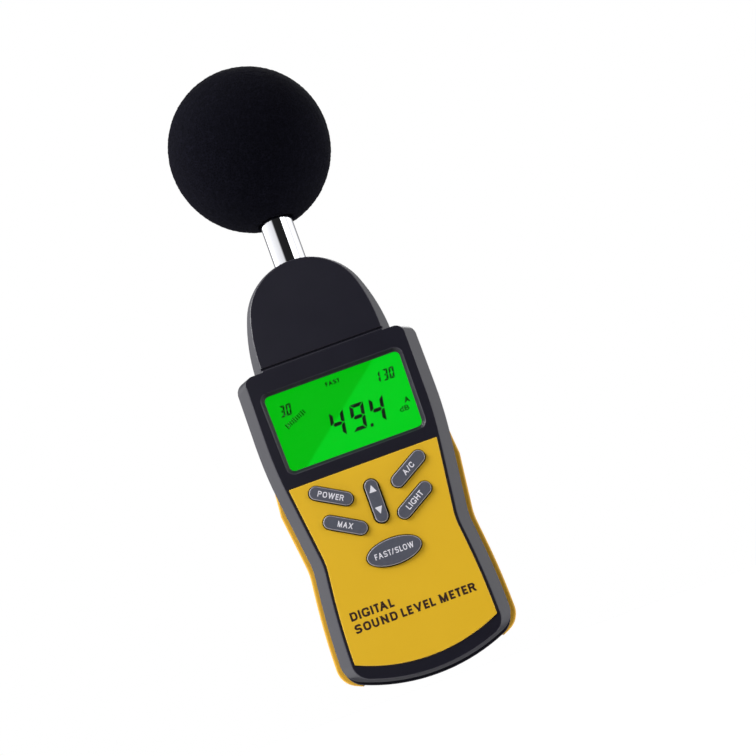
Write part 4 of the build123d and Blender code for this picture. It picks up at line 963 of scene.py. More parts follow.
@dataclass(frozen=True)
class Word:
    """A printed word, sized by its own width and cap height."""

    text: str
    width_mm: float
    cap_mm: float
    x_mm: float
    z_mm: float
    turn_deg: float = 0.0
    anchor: Anchor = Anchor.MIDDLE
    weight: float = 1.3  # stroke width, in sixths of the cap height
    spacing: float = 1.25  # clear gap between letters, in sixths of the cap height
    step: float = 0.06  # each stroke of a letter stands this much prouder, so that none coincide

    def drawn(self) -> tuple[list[Vector], list[list[int]]]:
        """Draw the letters side by side as thin solids of unit depth."""
        pen = Pen(self.weight)
        points: list[Vector] = []
        faces: list[list[int]] = []
        start = 0.0
        for place, mark in enumerate(self.text):
            if mark == " ":
                start += 2.4
                continue
            letter = LETTERS[mark]
            paths = [pen.path(stroke, letter.width / 8) for stroke in letter.strokes]
            ribbons = [pen.ribbon(*path) for path in paths]
            reach = [p.x for rows in ribbons for row in rows for p in row]
            start -= min(reach)
            for number, ((path, closed), rows) in enumerate(zip(paths, ribbons)):
                top = 1.0 + self.step * number
                first = len(points)
                for left, right in zip(*rows):
                    for depth in (0.0, top):
                        points += [Vector((start + p.x, p.y, depth)) for p in (left, right)]
                count = len(path)
                for step in range(count if closed else count - 1):
                    a, b = first + 4 * step, first + 4 * ((step + 1) % count)
                    faces += [[a, b, b + 1, a + 1], [a + 2, a + 3, b + 3, b + 2],
                              [a, a + 2, b + 2, b], [a + 1, b + 1, b + 3, a + 3]]
                if not closed:
                    end = first + 4 * (count - 1)
                    faces += [[first, first + 1, first + 3, first + 2], [end, end + 2, end + 3, end + 1]]
            start += max(reach) + self.spacing - CLOSER.get(self.text[place : place + 2], 0.0)
        return points, faces

    def mesh(self, face_y: float, proud_mm: float = 0.03) -> bpy.types.Mesh:
        """Build the word as thin solid letters on a face that looks along -Y.

        Args:
            face_y: The face's place, in metres.
            proud_mm: How far the ink stands off the face.

        Returns:
            The letters' mesh.
        """
        drawn, faces = self.drawn()
        points = np.array(drawn)
        low, high = points.min(0), points.max(0)
        span = high - low
        start = low[0] if self.anchor is Anchor.LEFT else (low[0] + high[0]) / 2
        across = (points[:, 0] - start) / span[0] * self.width_mm
        up = (points[:, 1] - (low[1] + high[1]) / 2) / span[1] * self.cap_mm
        out = (points[:, 2] * 2 - 1) * proud_mm
        turn = math.radians(self.turn_deg)
        x = self.x_mm + across * math.cos(turn) - up * math.sin(turn)
        z = self.z_mm + across * math.sin(turn) + up * math.cos(turn)
        placed = np.stack([x * MM, face_y - out * MM, z * MM], axis=1)
        return outward(mesh_of("word", placed.tolist(), faces))


# ------------------------------------------------------------------ case
@dataclass
class Case(SubAssembly):
    """The two shells, their screws, the tripod bush and the blank label."""

    edge_round_mm: float = 0.3
    thread_pitch_mm: float = 1.27
    thread_depth_mm: float = 0.55
    screw_head_mm: float = 2.1

    def build(self) -> None:
        """Make every piece of the case."""
        for node in ("front_shell", "rear_shell"):
            mesh = refined(self.frame, node, self.edge_round_mm)
            piece(node + "_moulding", mesh, self.paints["case"], stands_for=[node])
        self.thread()
        self.label()
        self.dress_all({"tripod_bush": "brass", "case_screws": "screw", "board_screws": "screw"})

    def thread(self) -> None:
        """Cut the bush's thread as one ridge that winds down its bore."""
        low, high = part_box("tripod_bush")
        depth = (high.y - low.y) / MM - 1.4
        recipe = NodeRecipe(
            "bush_thread",
            {"Radius": "Float", "Pitch": "Float", "Ridge": "Float", "Length": "Float", "Material": "Material"},
        )
        given = recipe.given
        turns = recipe.add("ShaderNodeMath", links={0: given["Length"], 1: given["Pitch"]}, operation="DIVIDE")
        helix = recipe.add(
            "GeometryNodeCurveSpiral", {"Resolution": 48},
            {
                "Rotations": turns.outputs[0], "Start Radius": given["Radius"],
                "End Radius": given["Radius"], "Height": given["Length"],
            },
        )
        profile = recipe.add("GeometryNodeCurvePrimitiveCircle", {"Resolution": 3}, {"Radius": given["Ridge"]})
        ridge = recipe.add(
            "GeometryNodeCurveToMesh", {"Fill Caps": True},
            {"Curve": helix.outputs[0], "Profile Curve": profile.outputs[0]},
        )
        recipe.close(ridge.outputs[0])
        mesh = recipe.run({
            "Radius": 3.0 * MM, "Pitch": self.thread_pitch_mm * MM, "Ridge": self.thread_depth_mm / 2 * MM,
            "Length": depth * MM, "Material": self.paints["brass"],
        })
        mesh.transform(Matrix.Translation((0, -0.4 * MM, 0)) @ Matrix.Rotation(math.radians(90), 4, "X"))
        piece("bush_thread", outward(mesh), self.paints["brass"])

    def label(self) -> None:
        """Print blank lines on the label, with no words on it."""
        dress(self.frame, "rear_label", self.paints["label"])
        low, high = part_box("rear_label")
        left, right = low.x / MM + 1.6, high.x / MM - 1.6
        bottom, top = low.z / MM + 1.6, high.z / MM - 1.6
        rules = [slab([(left, z), (right, z), (right, z + 0.25), (left, z + 0.25)], high.y - 0.02 * MM,
                      high.y + 0.03 * MM) for z in np.linspace(bottom, top - 0.25, 5)]
        piece("label_rules", joined("label_rules", rules), self.paints["dark_ink"])


@dataclass
class Grips(SubAssembly):
    """The two soft strips along the sides, with shallow cross grooves for the fingers."""

    edge_round_mm: float = 0.9
    round_steps: int = 6
    row_mm: float = 0.3
    first_groove_mm: float = 11.0
    groove_pitch_mm: float = 6.2
    groove_count: int = 9
    groove_half_mm: float = 1.0
    groove_depth_mm: float = 0.5
    groove_margin_mm: float = 2.6
    groove_fade_mm: float = 1.0

    def build(self) -> None:
        """Loft both strips."""
        for side, sign in (("left", -1), ("right", 1)):
            mesh = self.strip(f"{side}_grip", sign)
            piece(f"{side}_grip_strip", mesh, self.paints["grip"], stands_for=[f"{side}_grip"])

    def chains(self, node: str) -> tuple[list[Vector], list[Vector]]:
        """The strip's outer and inner edges from its upper end down, as distance out and height.

        Args:
            node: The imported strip.

        Returns:
            The outer edge and the inner edge.
        """
        work = bmesh.new()
        work.from_mesh(self.frame["nodes"][node].data)
        bmesh.ops.remove_doubles(work, verts=work.verts, dist=2e-6)
        bmesh.ops.dissolve_limit(work, angle_limit=math.radians(0.05), verts=work.verts, edges=work.edges)
        front = max((f for f in work.faces if f.normal.y < -0.99), key=lambda f: f.calc_area())
        loop = [Vector((abs(v.co.x), v.co.z)) for v in front.verts]
        work.free()
        top, foot, near = max(p.y for p in loop), min(p.x for p in loop), 1e-5
        first = next(i for i, p in enumerate(loop) if min(p.y, loop[i - 1].y) > top - near)
        loop = loop[first:] + loop[:first]
        last = next(i for i, p in enumerate(loop) if max(p.x, loop[i + 1].x) < foot + near)
        both = [loop[: last + 1], loop[:last:-1]]
        both.sort(key=lambda chain: -sum((b - a).length for a, b in zip(chain, chain[1:])))
        return both[0], both[1]

    def sampled(self, chain: Sequence[Vector]) -> tuple[np.ndarray, np.ndarray]:
        """Even samples along an edge, and each one's distance from the upper end."""
        line = np.array(chain)
        along = np.concatenate([[0.0], np.cumsum(np.hypot(*np.diff(line, axis=0).T))])
        steps = np.linspace(0.0, along[-1], int(along[-1] / (self.row_mm * MM)))
        return np.stack([np.interp(steps, along, line[:, axis]) for axis in (0, 1)], axis=1), steps

    def groove(self, along_mm: float, share_mm: float, deep_mm: float) -> float:
        """How deep the surface lies at a place along the strip and across its depth."""
        number = round((along_mm - self.first_groove_mm) / self.groove_pitch_mm)
        if not 0 <= number < self.groove_count:
            return 0.0
        off = abs(along_mm - self.first_groove_mm - number * self.groove_pitch_mm) / self.groove_half_mm
        edge = min(share_mm, deep_mm - share_mm) - self.groove_margin_mm
        fade = min(max(edge / self.groove_fade_mm, 0.0), 1.0)
        return self.groove_depth_mm * fade * math.cos(min(off, 1.0) * math.pi / 2) ** 2

    def strip(self, node: str, sign: int) -> bpy.types.Mesh:
        """Loft one strip: a section with two round outer corners, carried down its edge.

        Args:
            node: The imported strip.
            sign: Which side of the case it lies on.

        Returns:
            The closed mesh.
        """
        outer, inner = self.chains(node)
        low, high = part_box(node)
        deep = (high.y - low.y) / MM
        places, steps = self.sampled(outer)
        points, rows = [], []
        for place, step in zip(places, steps):
            tip = Vector(place)
            feet = []
            for a, b in zip(inner, inner[1:]):
                share = min(max((tip - a).dot(b - a) / (b - a).length_squared, 0.0), 1.0)
                feet.append(a + (b - a) * share)
            root = min(feet, key=lambda foot: (foot - tip).length)
            thick = (tip - root).length / MM
            out = (tip - root).normalized()
            corner = min(self.edge_round_mm, 0.8 * thick)
            turns = [math.pi / 2 * k / self.round_steps for k in range(self.round_steps + 1)]
            section = [(0.0, 0.0)]
            section += [(thick - corner * (1 - math.sin(t)), corner * (1 - math.cos(t))) for t in turns]
            section += [(thick, v) for v in np.linspace(self.groove_margin_mm, deep - self.groove_margin_mm, 15)]
            section += [(thick - corner * (1 - math.cos(t)), deep - corner * (1 - math.sin(t))) for t in turns]
            section += [(0.0, deep)]
            rows.append(len(points))
            for reach, share in section:
                reach -= self.groove(step / MM, share, deep) if reach == thick else 0.0
                flat = root + out * (reach * MM)
                points.append((sign * flat.x, low.y + share * MM, flat.y))
        count = len(points) // len(rows)
        faces = [
            [start + k, start + (k + 1) % count, after + (k + 1) % count, after + k]
            for start, after in zip(rows, rows[1:]) for k in range(count)
        ]
        faces += [list(range(count)), list(range(rows[-1], rows[-1] + count))]
        return shade(outward(mesh_of(node, points, faces)), 50.0)


# ------------------------------------------------------------------ face panel and keys
@dataclass
class FacePanel(SubAssembly):
    """The yellow insert and the words printed on it."""

    edge_round_mm: float = 0.25
    words: tuple[Word, ...] = (
        Word("DIGITAL", 16.2, 3.1, -22.6, -50.3, anchor=Anchor.LEFT, weight=1.75),
        Word("SOUND LEVEL METER", 45.4, 3.1, -22.6, -54.9, anchor=Anchor.LEFT, weight=1.75),
    )

    def build(self) -> None:
        """Make the panel and its print."""
        mesh = refined(self.frame, "face_panel", self.edge_round_mm)
        piece("face_panel_insert", mesh, self.paints["panel"], stands_for=["face_panel"])
        face_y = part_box("face_panel")[0].y
        print_mesh = joined("panel_print", [word.mesh(face_y) for word in self.words])
        piece("panel_print", print_mesh, self.paints["dark_ink"])


@dataclass
class Keypad(SubAssembly):
    """The keys with their legends, the carbon pills and the mat."""

    edge_round_mm: float = 0.35
    cap_mm: float = 2.1
    arrow_mm: float = 2.7
    arrow_shift_mm: float = 0.5  # the two arrows sit a little above the rocker's middle
    arrow_spread_mm: float = 4.1

    def middle(self, key: str) -> tuple[float, float, float]:
        """A key's middle as x and z in millimetres, and its top face's y in metres."""
        low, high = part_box(key)
        return (low.x + high.x) / 2 / MM, (low.z + high.z) / 2 / MM, low.y

    def build(self) -> None:
        """Dress the keys and print their legends."""
        legends = {
            "power_key": ("POWER", 9.6, -30.0),
            "max_key": ("MAX", 5.6, -30.0),
            "weighting_key": ("A/C", 5.0, 30.0),
            "light_key": ("LIGHT", 7.7, 30.0),
            "speed_key": ("FAST/SLOW", 14.6, 0.0),
        }
        for key, (text, width, turn) in legends.items():
            x, z, top = self.middle(key)
            word = Word(text, width, self.cap_mm, x, z, turn)
            self.legend(key, word.mesh(top))
        x, z, top = self.middle("level_key")
        arrows = []
        for way in (1, -1):
            tip = z + self.arrow_shift_mm + way * self.arrow_spread_mm
            half = self.arrow_mm / 2
            corners = [(x - half, tip - way * half), (x + half, tip - way * half), (x, tip + way * half)]
            arrows.append(slab(corners, top - 0.03 * MM, top + 0.03 * MM))
        self.legend("level_key", joined("arrows", arrows))
        self.dress_all({"keypad_mat": "mat"})

    def legend(self, key: str, mesh: bpy.types.Mesh) -> None:
        """Put a legend on its key, and dress the key and its pill."""
        self.dress_all({key + "_pill": "carbon"})
        cap = refined(self.frame, key, self.edge_round_mm, 35.0)
        piece(key + "_cap", cap, self.paints["key"], key + "_body", [key])
        piece(key + "_legend", mesh, self.paints["white_ink"], body=key + "_body")


# ------------------------------------------------------------------ display
class Lit(Enum):
    """The segments that each character lights, named a to g clockwise from the top."""

    ZERO = "abcdef"
    ONE = "bc"
    THREE = "abcdg"
    FOUR = "bcfg"
    NINE = "abcdfg"


@dataclass
class Display(SubAssembly):
    """The window, the lit glass and the figures on it."""

    stroke_share: float = 0.136  # a segment's width, as a share of the figure's height
    small_boost: float = 1.15  # the small figures are cut bolder, so that they can be read
    gap_share: float = 0.022
    slant: float = 0.17
    scale_turn: float = 0.41  # the scale's row climbs at this angle, with its marks square to it
    film_mm: float = 0.04
    big_mm: Point = (5.4, 9.9)
    small_mm: Point = (1.9, 4.3)

    def figure(self, lit: Lit, x: float, z: float, size: Point) -> list[bpy.types.Mesh]:
        """One seven-segment figure.

        Args:
            lit: Which segments show.
            x: Its middle, in millimetres.
            z: Its middle, in millimetres.
            size: Its width and height.

        Returns:
            One mesh for each segment that shows.
        """
        half, tall = size[0] / 2, size[1] / 2
        stroke = self.stroke_share * size[1] * (self.small_boost if size == self.small_mm else 1.0)
        gap = self.gap_share * size[1]
        inner = half - stroke
        bars = {
            "a": [(-half + gap, tall), (half - gap, tall), (inner - gap, tall - stroke), (-inner + gap, tall - stroke)],
            "d": [(-half + gap, -tall), (half - gap, -tall), (inner - gap, stroke - tall), (gap - inner, stroke - tall)],
            "g": [
                (-inner + gap, stroke / 2), (inner - gap, stroke / 2), (half - stroke / 2 - gap, 0),
                (inner - gap, -stroke / 2), (-inner + gap, -stroke / 2), (-half + stroke / 2 + gap, 0),
            ],
            "b": [
                (half, tall - gap), (half, gap), (half - stroke / 2, gap), (inner, stroke / 2 + gap),
                (inner, tall - stroke - gap),
            ],
        }
        bars["c"] = [(px, -pz) for px, pz in bars["b"]]
        bars["f"] = [(-px, pz) for px, pz in bars["b"]]
        bars["e"] = [(-px, -pz) for px, pz in bars["b"]]
        return [
            self.film([(x + px + self.slant * pz, z + pz) for px, pz in bars[name]]) for name in lit.value
        ]

    def film(self, outline: Sequence[Point]) -> bpy.types.Mesh:
        """A thin dark patch just in front of the lit glass."""
        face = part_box("lcd_front_glass")[0].y
        return slab(outline, face - self.film_mm * MM, face - 0.005 * MM)

    def scale_marks(self, x: float, z: float) -> bpy.types.Mesh:
        """The slanting scale: a row of short marks of two heights.

        Args:
            x: The first mark's foot, in millimetres.
            z: The first mark's foot, in millimetres.

        Returns:
            The marks' mesh.
        """
        recipe = NodeRecipe(
            "scale_marks",
            {
                "Count": "Int", "Step": "Vector", "Mark": "Vector", "Tall Every": "Int", "Material": "Material",
            },
        )
        given = recipe.given
        row = recipe.add(
            "GeometryNodeMeshLine", links={"Count": given["Count"], "Offset": given["Step"]}, mode="OFFSET"
        )
        mark = recipe.add("GeometryNodeMeshCube", links={"Size": given["Mark"]})
        index = recipe.add("GeometryNodeInputIndex")
        beat = recipe.add(
            "ShaderNodeMath", links={0: index.outputs[0], 1: given["Tall Every"]}, operation="MODULO"
        )
        grow = recipe.add(
            "ShaderNodeMapRange", {"From Min": 0.0, "From Max": 1.0, "To Min": 1.0, "To Max": 0.75},
            {"Value": beat.outputs[0]},
        )
        size = recipe.add("ShaderNodeCombineXYZ", {0: 1.0, 1: 1.0}, {2: grow.outputs[0]})
        marks = recipe.add(
            "GeometryNodeInstanceOnPoints",
            {"Rotation": (0.0, -self.scale_turn, 0.0)},
            {"Points": row.outputs[0], "Instance": mark.outputs[0], "Scale": size.outputs[0]},
        )
        recipe.close(marks.outputs[0])
        mesh = recipe.run({
            "Count": 10, "Step": Vector((math.cos(self.scale_turn), 0.0, math.sin(self.scale_turn))) * 0.92 * MM,
            "Mark": (0.4 * MM, self.film_mm * MM, 2.3 * MM), "Tall Every": 4, "Material": self.paints["segment"],
        })
        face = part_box("lcd_front_glass")[0].y
        mesh.transform(Matrix.Translation((x * MM, face - 0.6 * self.film_mm * MM, z * MM)))
        return outward(mesh)

    def build(self) -> None:
        """Make the figures and dress the glass."""
        low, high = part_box("window_lens")
        z = (low.z + high.z) / 2 / MM - 0.4
        shapes = []
        for lit, x in ((Lit.FOUR, -3.7), (Lit.NINE, 4.2), (Lit.FOUR, 11.7)):
            shapes += self.figure(lit, x, z - 2.95, self.big_mm)
        for lit, x in ((Lit.THREE, -21.3), (Lit.ZERO, -18.9), (Lit.ONE, 15.9), (Lit.THREE, 18.9), (Lit.ZERO, 21.3)):
            shapes += self.figure(lit, x, z + 8.4, self.small_mm)
        shapes.append(self.film([(7.3, z - 8.2), (8.4, z - 8.2), (8.6, z - 7.0), (7.5, z - 7.0)]))
        shapes.append(self.scale_marks(-21.5, z + 2.45))
        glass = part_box("lcd_front_glass")[0].y
        for word in (
            Word("FAST", 5.4, 1.6, -0.4, z + 12.4, weight=1.7), Word("A", 2.1, 2.1, 23.1, z - 3.0, weight=1.4),
            Word("dB", 3.6, 1.9, 21.2, z - 5.8, weight=1.1),
        ):
            shapes.append(word.mesh(glass - 0.02 * MM, 0.015))
        figures = joined("display_figures", shapes)
        piece("display_figures", figures, self.paints["segment"])
        self.dress_all({
            "window_lens": "lens", "lcd_front_glass": "lit", "lcd_rear_glass": "glass", "backlight": "guide",
            "backlight_leds": "led", "zebra_strip": "mat", "lcd_frame": "frame",
        })


# ------------------------------------------------------------------ microphone and windscreen
@dataclass
class Microphone(SubAssembly):
    """The plated tube, the capsule with its grid, and what is inside the tube."""

    groove_mm: float = 0.18
    segments: int = 160

    def build(self) -> None:
        """Turn the tube and the capsule, and dress the rest."""
        low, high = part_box("mic_tube")
        axis = Vector((0.0, (low.y + high.y) / 2, 0.0))
        dome_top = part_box("front_shell")[1].z
        radius = (high.x - low.x) / 2 / MM
        bottom, top = low.z / MM, high.z / MM
        neck = dome_top / MM + 0.5
        bore, root, soft = radius - 1.0, radius - 0.15, 0.15
        tube = ring(
            [
                (bore, bottom), (root, bottom), (root, neck), (radius - soft, neck), (radius, neck + soft),
                (radius, top - soft), (radius - soft, top), (bore, top),
            ],
            axis, self.segments,
        )
        piece("mic_tube_barrel", shade(tube, 40), self.paints["chrome"], stands_for=["mic_tube"])
        low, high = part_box("mic_capsule")
        spigot, foot, head = low.z / MM, top, high.z / MM
        cut = radius - self.groove_mm
        profile = [(0.0, spigot), (bore - 0.05, spigot), (bore - 0.05, foot), (radius - soft, foot), (radius, foot + soft)]
        for groove in (1.6, 2.4, 7.6):
            start = foot + groove
            profile += [(radius, start), (cut, start + 0.1), (cut, start + 0.3), (radius, start + 0.4)]
        profile += [(radius, head - soft), (radius - soft, head), (0.0, head)]
        capsule = ring(profile, axis, self.segments)
        piece("mic_capsule_body", shade(capsule, 40), self.paints["capsule"], stands_for=["mic_capsule"])
        self.dress_all({
            "mic_grid": "capsule", "mic_sleeve": "acetal", "preamp_board": "board", "mic_lead": "grey_lead",
        })


@dataclass
class Windscreen(SubAssembly):
    """The foam ball: open cells all over, and a bore that takes the tube."""

    subdivisions: int = 7
    cell_mm: float = 1.0
    cell_depth_mm: float = 0.3
    mouth_round_mm: float = 1.2
    bore_spare_mm: float = 5.0  # room above the grid, where the bore's end is drawn in coarsely
    bore_ease_mm: float = 0.35  # the bore widens this much towards its end, so that the grid is clear of it
    neck_stretch: float = 0.035  # the foam is drawn a little down towards its neck
    seed: int = 11

    def skin(self, radius: float) -> bpy.types.Mesh:
        """The ball's outside with its cells, made by a geometry tree.

        Args:
            radius: The ball's radius, in metres.

        Returns:
            A closed ball about the origin.
        """
        recipe = NodeRecipe(
            "foam_skin",
            {
                "Radius": "Float", "Subdivisions": "Int", "Cell Size": "Float", "Cell Depth": "Float",
                "Seed": "Float", "Material": "Material",
            },
        )
        given = recipe.given
        ball = recipe.add(
            "GeometryNodeMeshIcoSphere", links={"Radius": given["Radius"], "Subdivisions": given["Subdivisions"]}
        )
        scale = recipe.add("ShaderNodeMath", {0: 1.0}, {1: given["Cell Size"]}, operation="DIVIDE")
        where = recipe.add("GeometryNodeInputPosition")
        cells = recipe.add(
            "ShaderNodeTexVoronoi",
            links={"Vector": where.outputs[0], "Scale": scale.outputs[0], "W": given["Seed"]},
            voronoi_dimensions="4D", feature="F1",
        )
        wide = recipe.add("ShaderNodeMath", {1: 0.22}, {0: scale.outputs[0]}, operation="MULTIPLY")
        swell = recipe.add(
            "ShaderNodeTexNoise", {"Detail": 2.0},
            {"Vector": where.outputs[0], "Scale": wide.outputs[0], "W": given["Seed"]}, noise_dimensions="4D",
        )
        both = recipe.add(
            "ShaderNodeMath", {1: 0.5}, {0: swell.outputs[0], 2: cells.outputs["Distance"]}, operation="MULTIPLY_ADD"
        )
        depth = recipe.add(
            "ShaderNodeMapRange", {"From Min": 0.3, "From Max": 1.1, "To Min": 0.0, "To Max": -1.0},
            {"Value": both.outputs[0]},
        )
        reach = recipe.add(
            "ShaderNodeMath", links={0: depth.outputs[0], 1: given["Cell Depth"]}, operation="MULTIPLY"
        )
        normal = recipe.add("GeometryNodeInputNormal")
        push = recipe.add(
            "ShaderNodeVectorMath", links={0: normal.outputs[0], "Scale": reach.outputs[0]}, operation="SCALE"
        )
        moved = recipe.add(
            "GeometryNodeSetPosition", links={"Geometry": ball.outputs[0], "Offset": push.outputs[0]}
        )
        recipe.close(moved.outputs[0])
        return recipe.run({
            "Radius": radius, "Subdivisions": self.subdivisions, "Cell Size": self.cell_mm * MM,
            "Cell Depth": self.cell_depth_mm * MM, "Seed": float(self.seed), "Material": self.paints["foam"],
        })

    def build(self) -> None:
        """Make the ball and sink its bore."""
        low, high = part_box("windscreen")
        radius = (high.x - low.x) / 2
        centre = Vector(((low.x + high.x) / 2, (low.y + high.y) / 2, high.z - radius))
        mesh = self.skin(radius)
        points = np.array([v.co for v in mesh.vertices])
        bore = (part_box("mic_tube")[1].x + 0.05 * MM)
        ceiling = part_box("mic_grid")[1].z + self.bore_spare_mm * MM - centre.z
        self.sink_bore(points, radius, bore, ceiling)
        low_half = np.clip(-points[:, 2] / radius, 0.0, 1.0)
        points[:, 2] *= 1.0 + self.neck_stretch * low_half
        points += np.array(centre)
        mesh.vertices.foreach_set("co", points.astype(np.float32).ravel())
        mesh.update()
        for face in mesh.polygons:
            face.use_smooth = True
        ball = piece(
            "foam_ball", mesh, self.paints["foam"], "foam_windscreen", stands_for=["windscreen"]
        )

    def sink_bore(self, points: np.ndarray, radius: float, bore: float, ceiling: float) -> None:
        """Push the ball's underside in along a rounded mouth, a straight wall and a flat end.

        Args:
            points: The ball's points about its middle, changed in place.
            radius: The ball's radius.
            bore: The bore's radius.
            ceiling: The bore's end above the ball's middle.
        """
        lip = self.mouth_round_mm * MM
        mouth = bore + lip
        reach = math.asin(mouth / radius)
        edge_z = -math.sqrt(radius**2 - mouth**2)
        turns = np.linspace(0.0, math.pi / 2, 9)
        path = [(bore + lip * (1 - math.sin(t)), edge_z + lip * (1 - math.cos(t))) for t in turns]
        path += [(bore + self.bore_ease_mm * MM, ceiling), (0.0, ceiling)]
        line = np.array(path)
        steps = np.concatenate([[0.0], np.cumsum(np.hypot(*np.diff(line, axis=0).T))])
        length = np.linalg.norm(points, axis=1)
        polar = np.arccos(np.clip(-points[:, 2] / length, -1.0, 1.0))
        inside = polar < reach
        share = 1.0 - polar[inside] / reach
        along = share * steps[-1]
        around = np.arctan2(points[inside, 1], points[inside, 0])
        across = np.interp(along, steps, line[:, 0])
        points[inside, 0] = across * np.cos(around)
        points[inside, 1] = across * np.sin(around)
        points[inside, 2] = np.interp(along, steps, line[:, 1])


# ------------------------------------------------------------------ battery and board
@dataclass
class Power(SubAssembly):
    """The battery, its snap and leads, and the door that covers them."""

    door_round_mm: float = 0.25
    jacket_round_mm: float = 0.6
    pad_turns: int = 120
    pad_squareness: float = 0.2  # 1 gives an ellipse, and 0 a rectangle

    def build(self) -> None:
        """Dress the battery and its door."""
        door = refined(self.frame, "battery_door", self.door_round_mm)
        piece("battery_door_moulding", door, self.paints["case"], "door", ["battery_door"])
        jacket = refined(self.frame, "battery", self.jacket_round_mm, 40.0)
        piece("battery_block", jacket, self.paints["jacket"], HOUSING, ["battery"])
        self.dress_all({
            "battery_snap": "snap", "battery_lead_red": "red_lead", "battery_lead_black": "black_lead",
        })
        self.pad()

    def pad(self) -> None:
        """A stuck-on pad with a crowned free face and soft rounded edges."""
        low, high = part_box("door_pad")
        middle, half, deep = (low + high) / 2, (high - low) / 2, high.y - low.y
        # share of the pad's outline, and of its depth from the free face
        rings = (
            (0.0, 1.0), (0.6, 1.0), (0.97, 1.0), (1.0, 0.97), (1.0, 0.5), (0.985, 0.3), (0.95, 0.16),
            (0.88, 0.07), (0.75, 0.03), (0.5, 0.0), (0.0, 0.0),
        )
        points, rows, faces = [], [], []
        for spread, share in rings:
            steps = range(self.pad_turns) if spread else range(1)
            rows.append([len(points) + step % len(steps) for step in range(self.pad_turns)])
            for step in steps:
                turn = math.tau * (step + 0.5) / self.pad_turns
                x, z = (math.copysign(abs(c) ** self.pad_squareness, c) for c in (math.cos(turn), math.sin(turn)))
                points.append(middle + Vector((x * half.x * spread, deep * (share - 0.5), z * half.z * spread)))
        for near, far in zip(rows, rows[1:]):
            for step in range(self.pad_turns):
                after = (step + 1) % self.pad_turns
                corners = dict.fromkeys((near[step], near[after], far[after], far[step]))
                faces.append(list(corners))
        mesh = shade(outward(mesh_of("pad", points, faces)), 50.0)
        pad = piece("door_pad_foam", mesh, self.paints["pad"], "door", ["door_pad"])


@dataclass
class Board(SubAssembly):
    """The main board and what is soldered to it."""

    joint_mm: float = 0.55
    leg_pitch_mm: float = 1.27

    def build(self) -> None:
        """Dress the board's parts and add the main chip's legs."""
        self.dress_all({
            "main_board": "board", "mcu_chip": "chip", "amplifier_chips": "chip", "capacitors": "can",
            "trimmer_body": "trimmer", "trimmer_rotor": "rotor",
        })
        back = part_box("main_board")[1].y
        self.legs(back)

    def legs(self, back: float) -> None:
        """Rows of bent legs along two sides of the main chip."""
        low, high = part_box("mcu_chip")
        places = []
        for side, x in ((-1, low.x), (1, high.x)):
            for z in np.arange(low.z + 0.6 * MM, high.z, self.leg_pitch_mm * MM):
                places.append(Vector((x + side * 0.4 * MM, back + 0.25 * MM, z)))
        recipe = NodeRecipe("chip_legs", {"Places": "Geometry", "Leg": "Vector", "Material": "Material"})
        given = recipe.given
        leg = recipe.add("GeometryNodeMeshCube", links={"Size": given["Leg"]})
        legs = recipe.add(
            "GeometryNodeInstanceOnPoints", links={"Points": given["Places"], "Instance": leg.outputs[0]}
        )
        recipe.close(legs.outputs[0])
        values = {"Leg": (0.9 * MM, 0.3 * MM, 0.45 * MM), "Material": self.paints["solder"]}
        piece("chip_legs", recipe.run(values, places), self.paints["solder"])


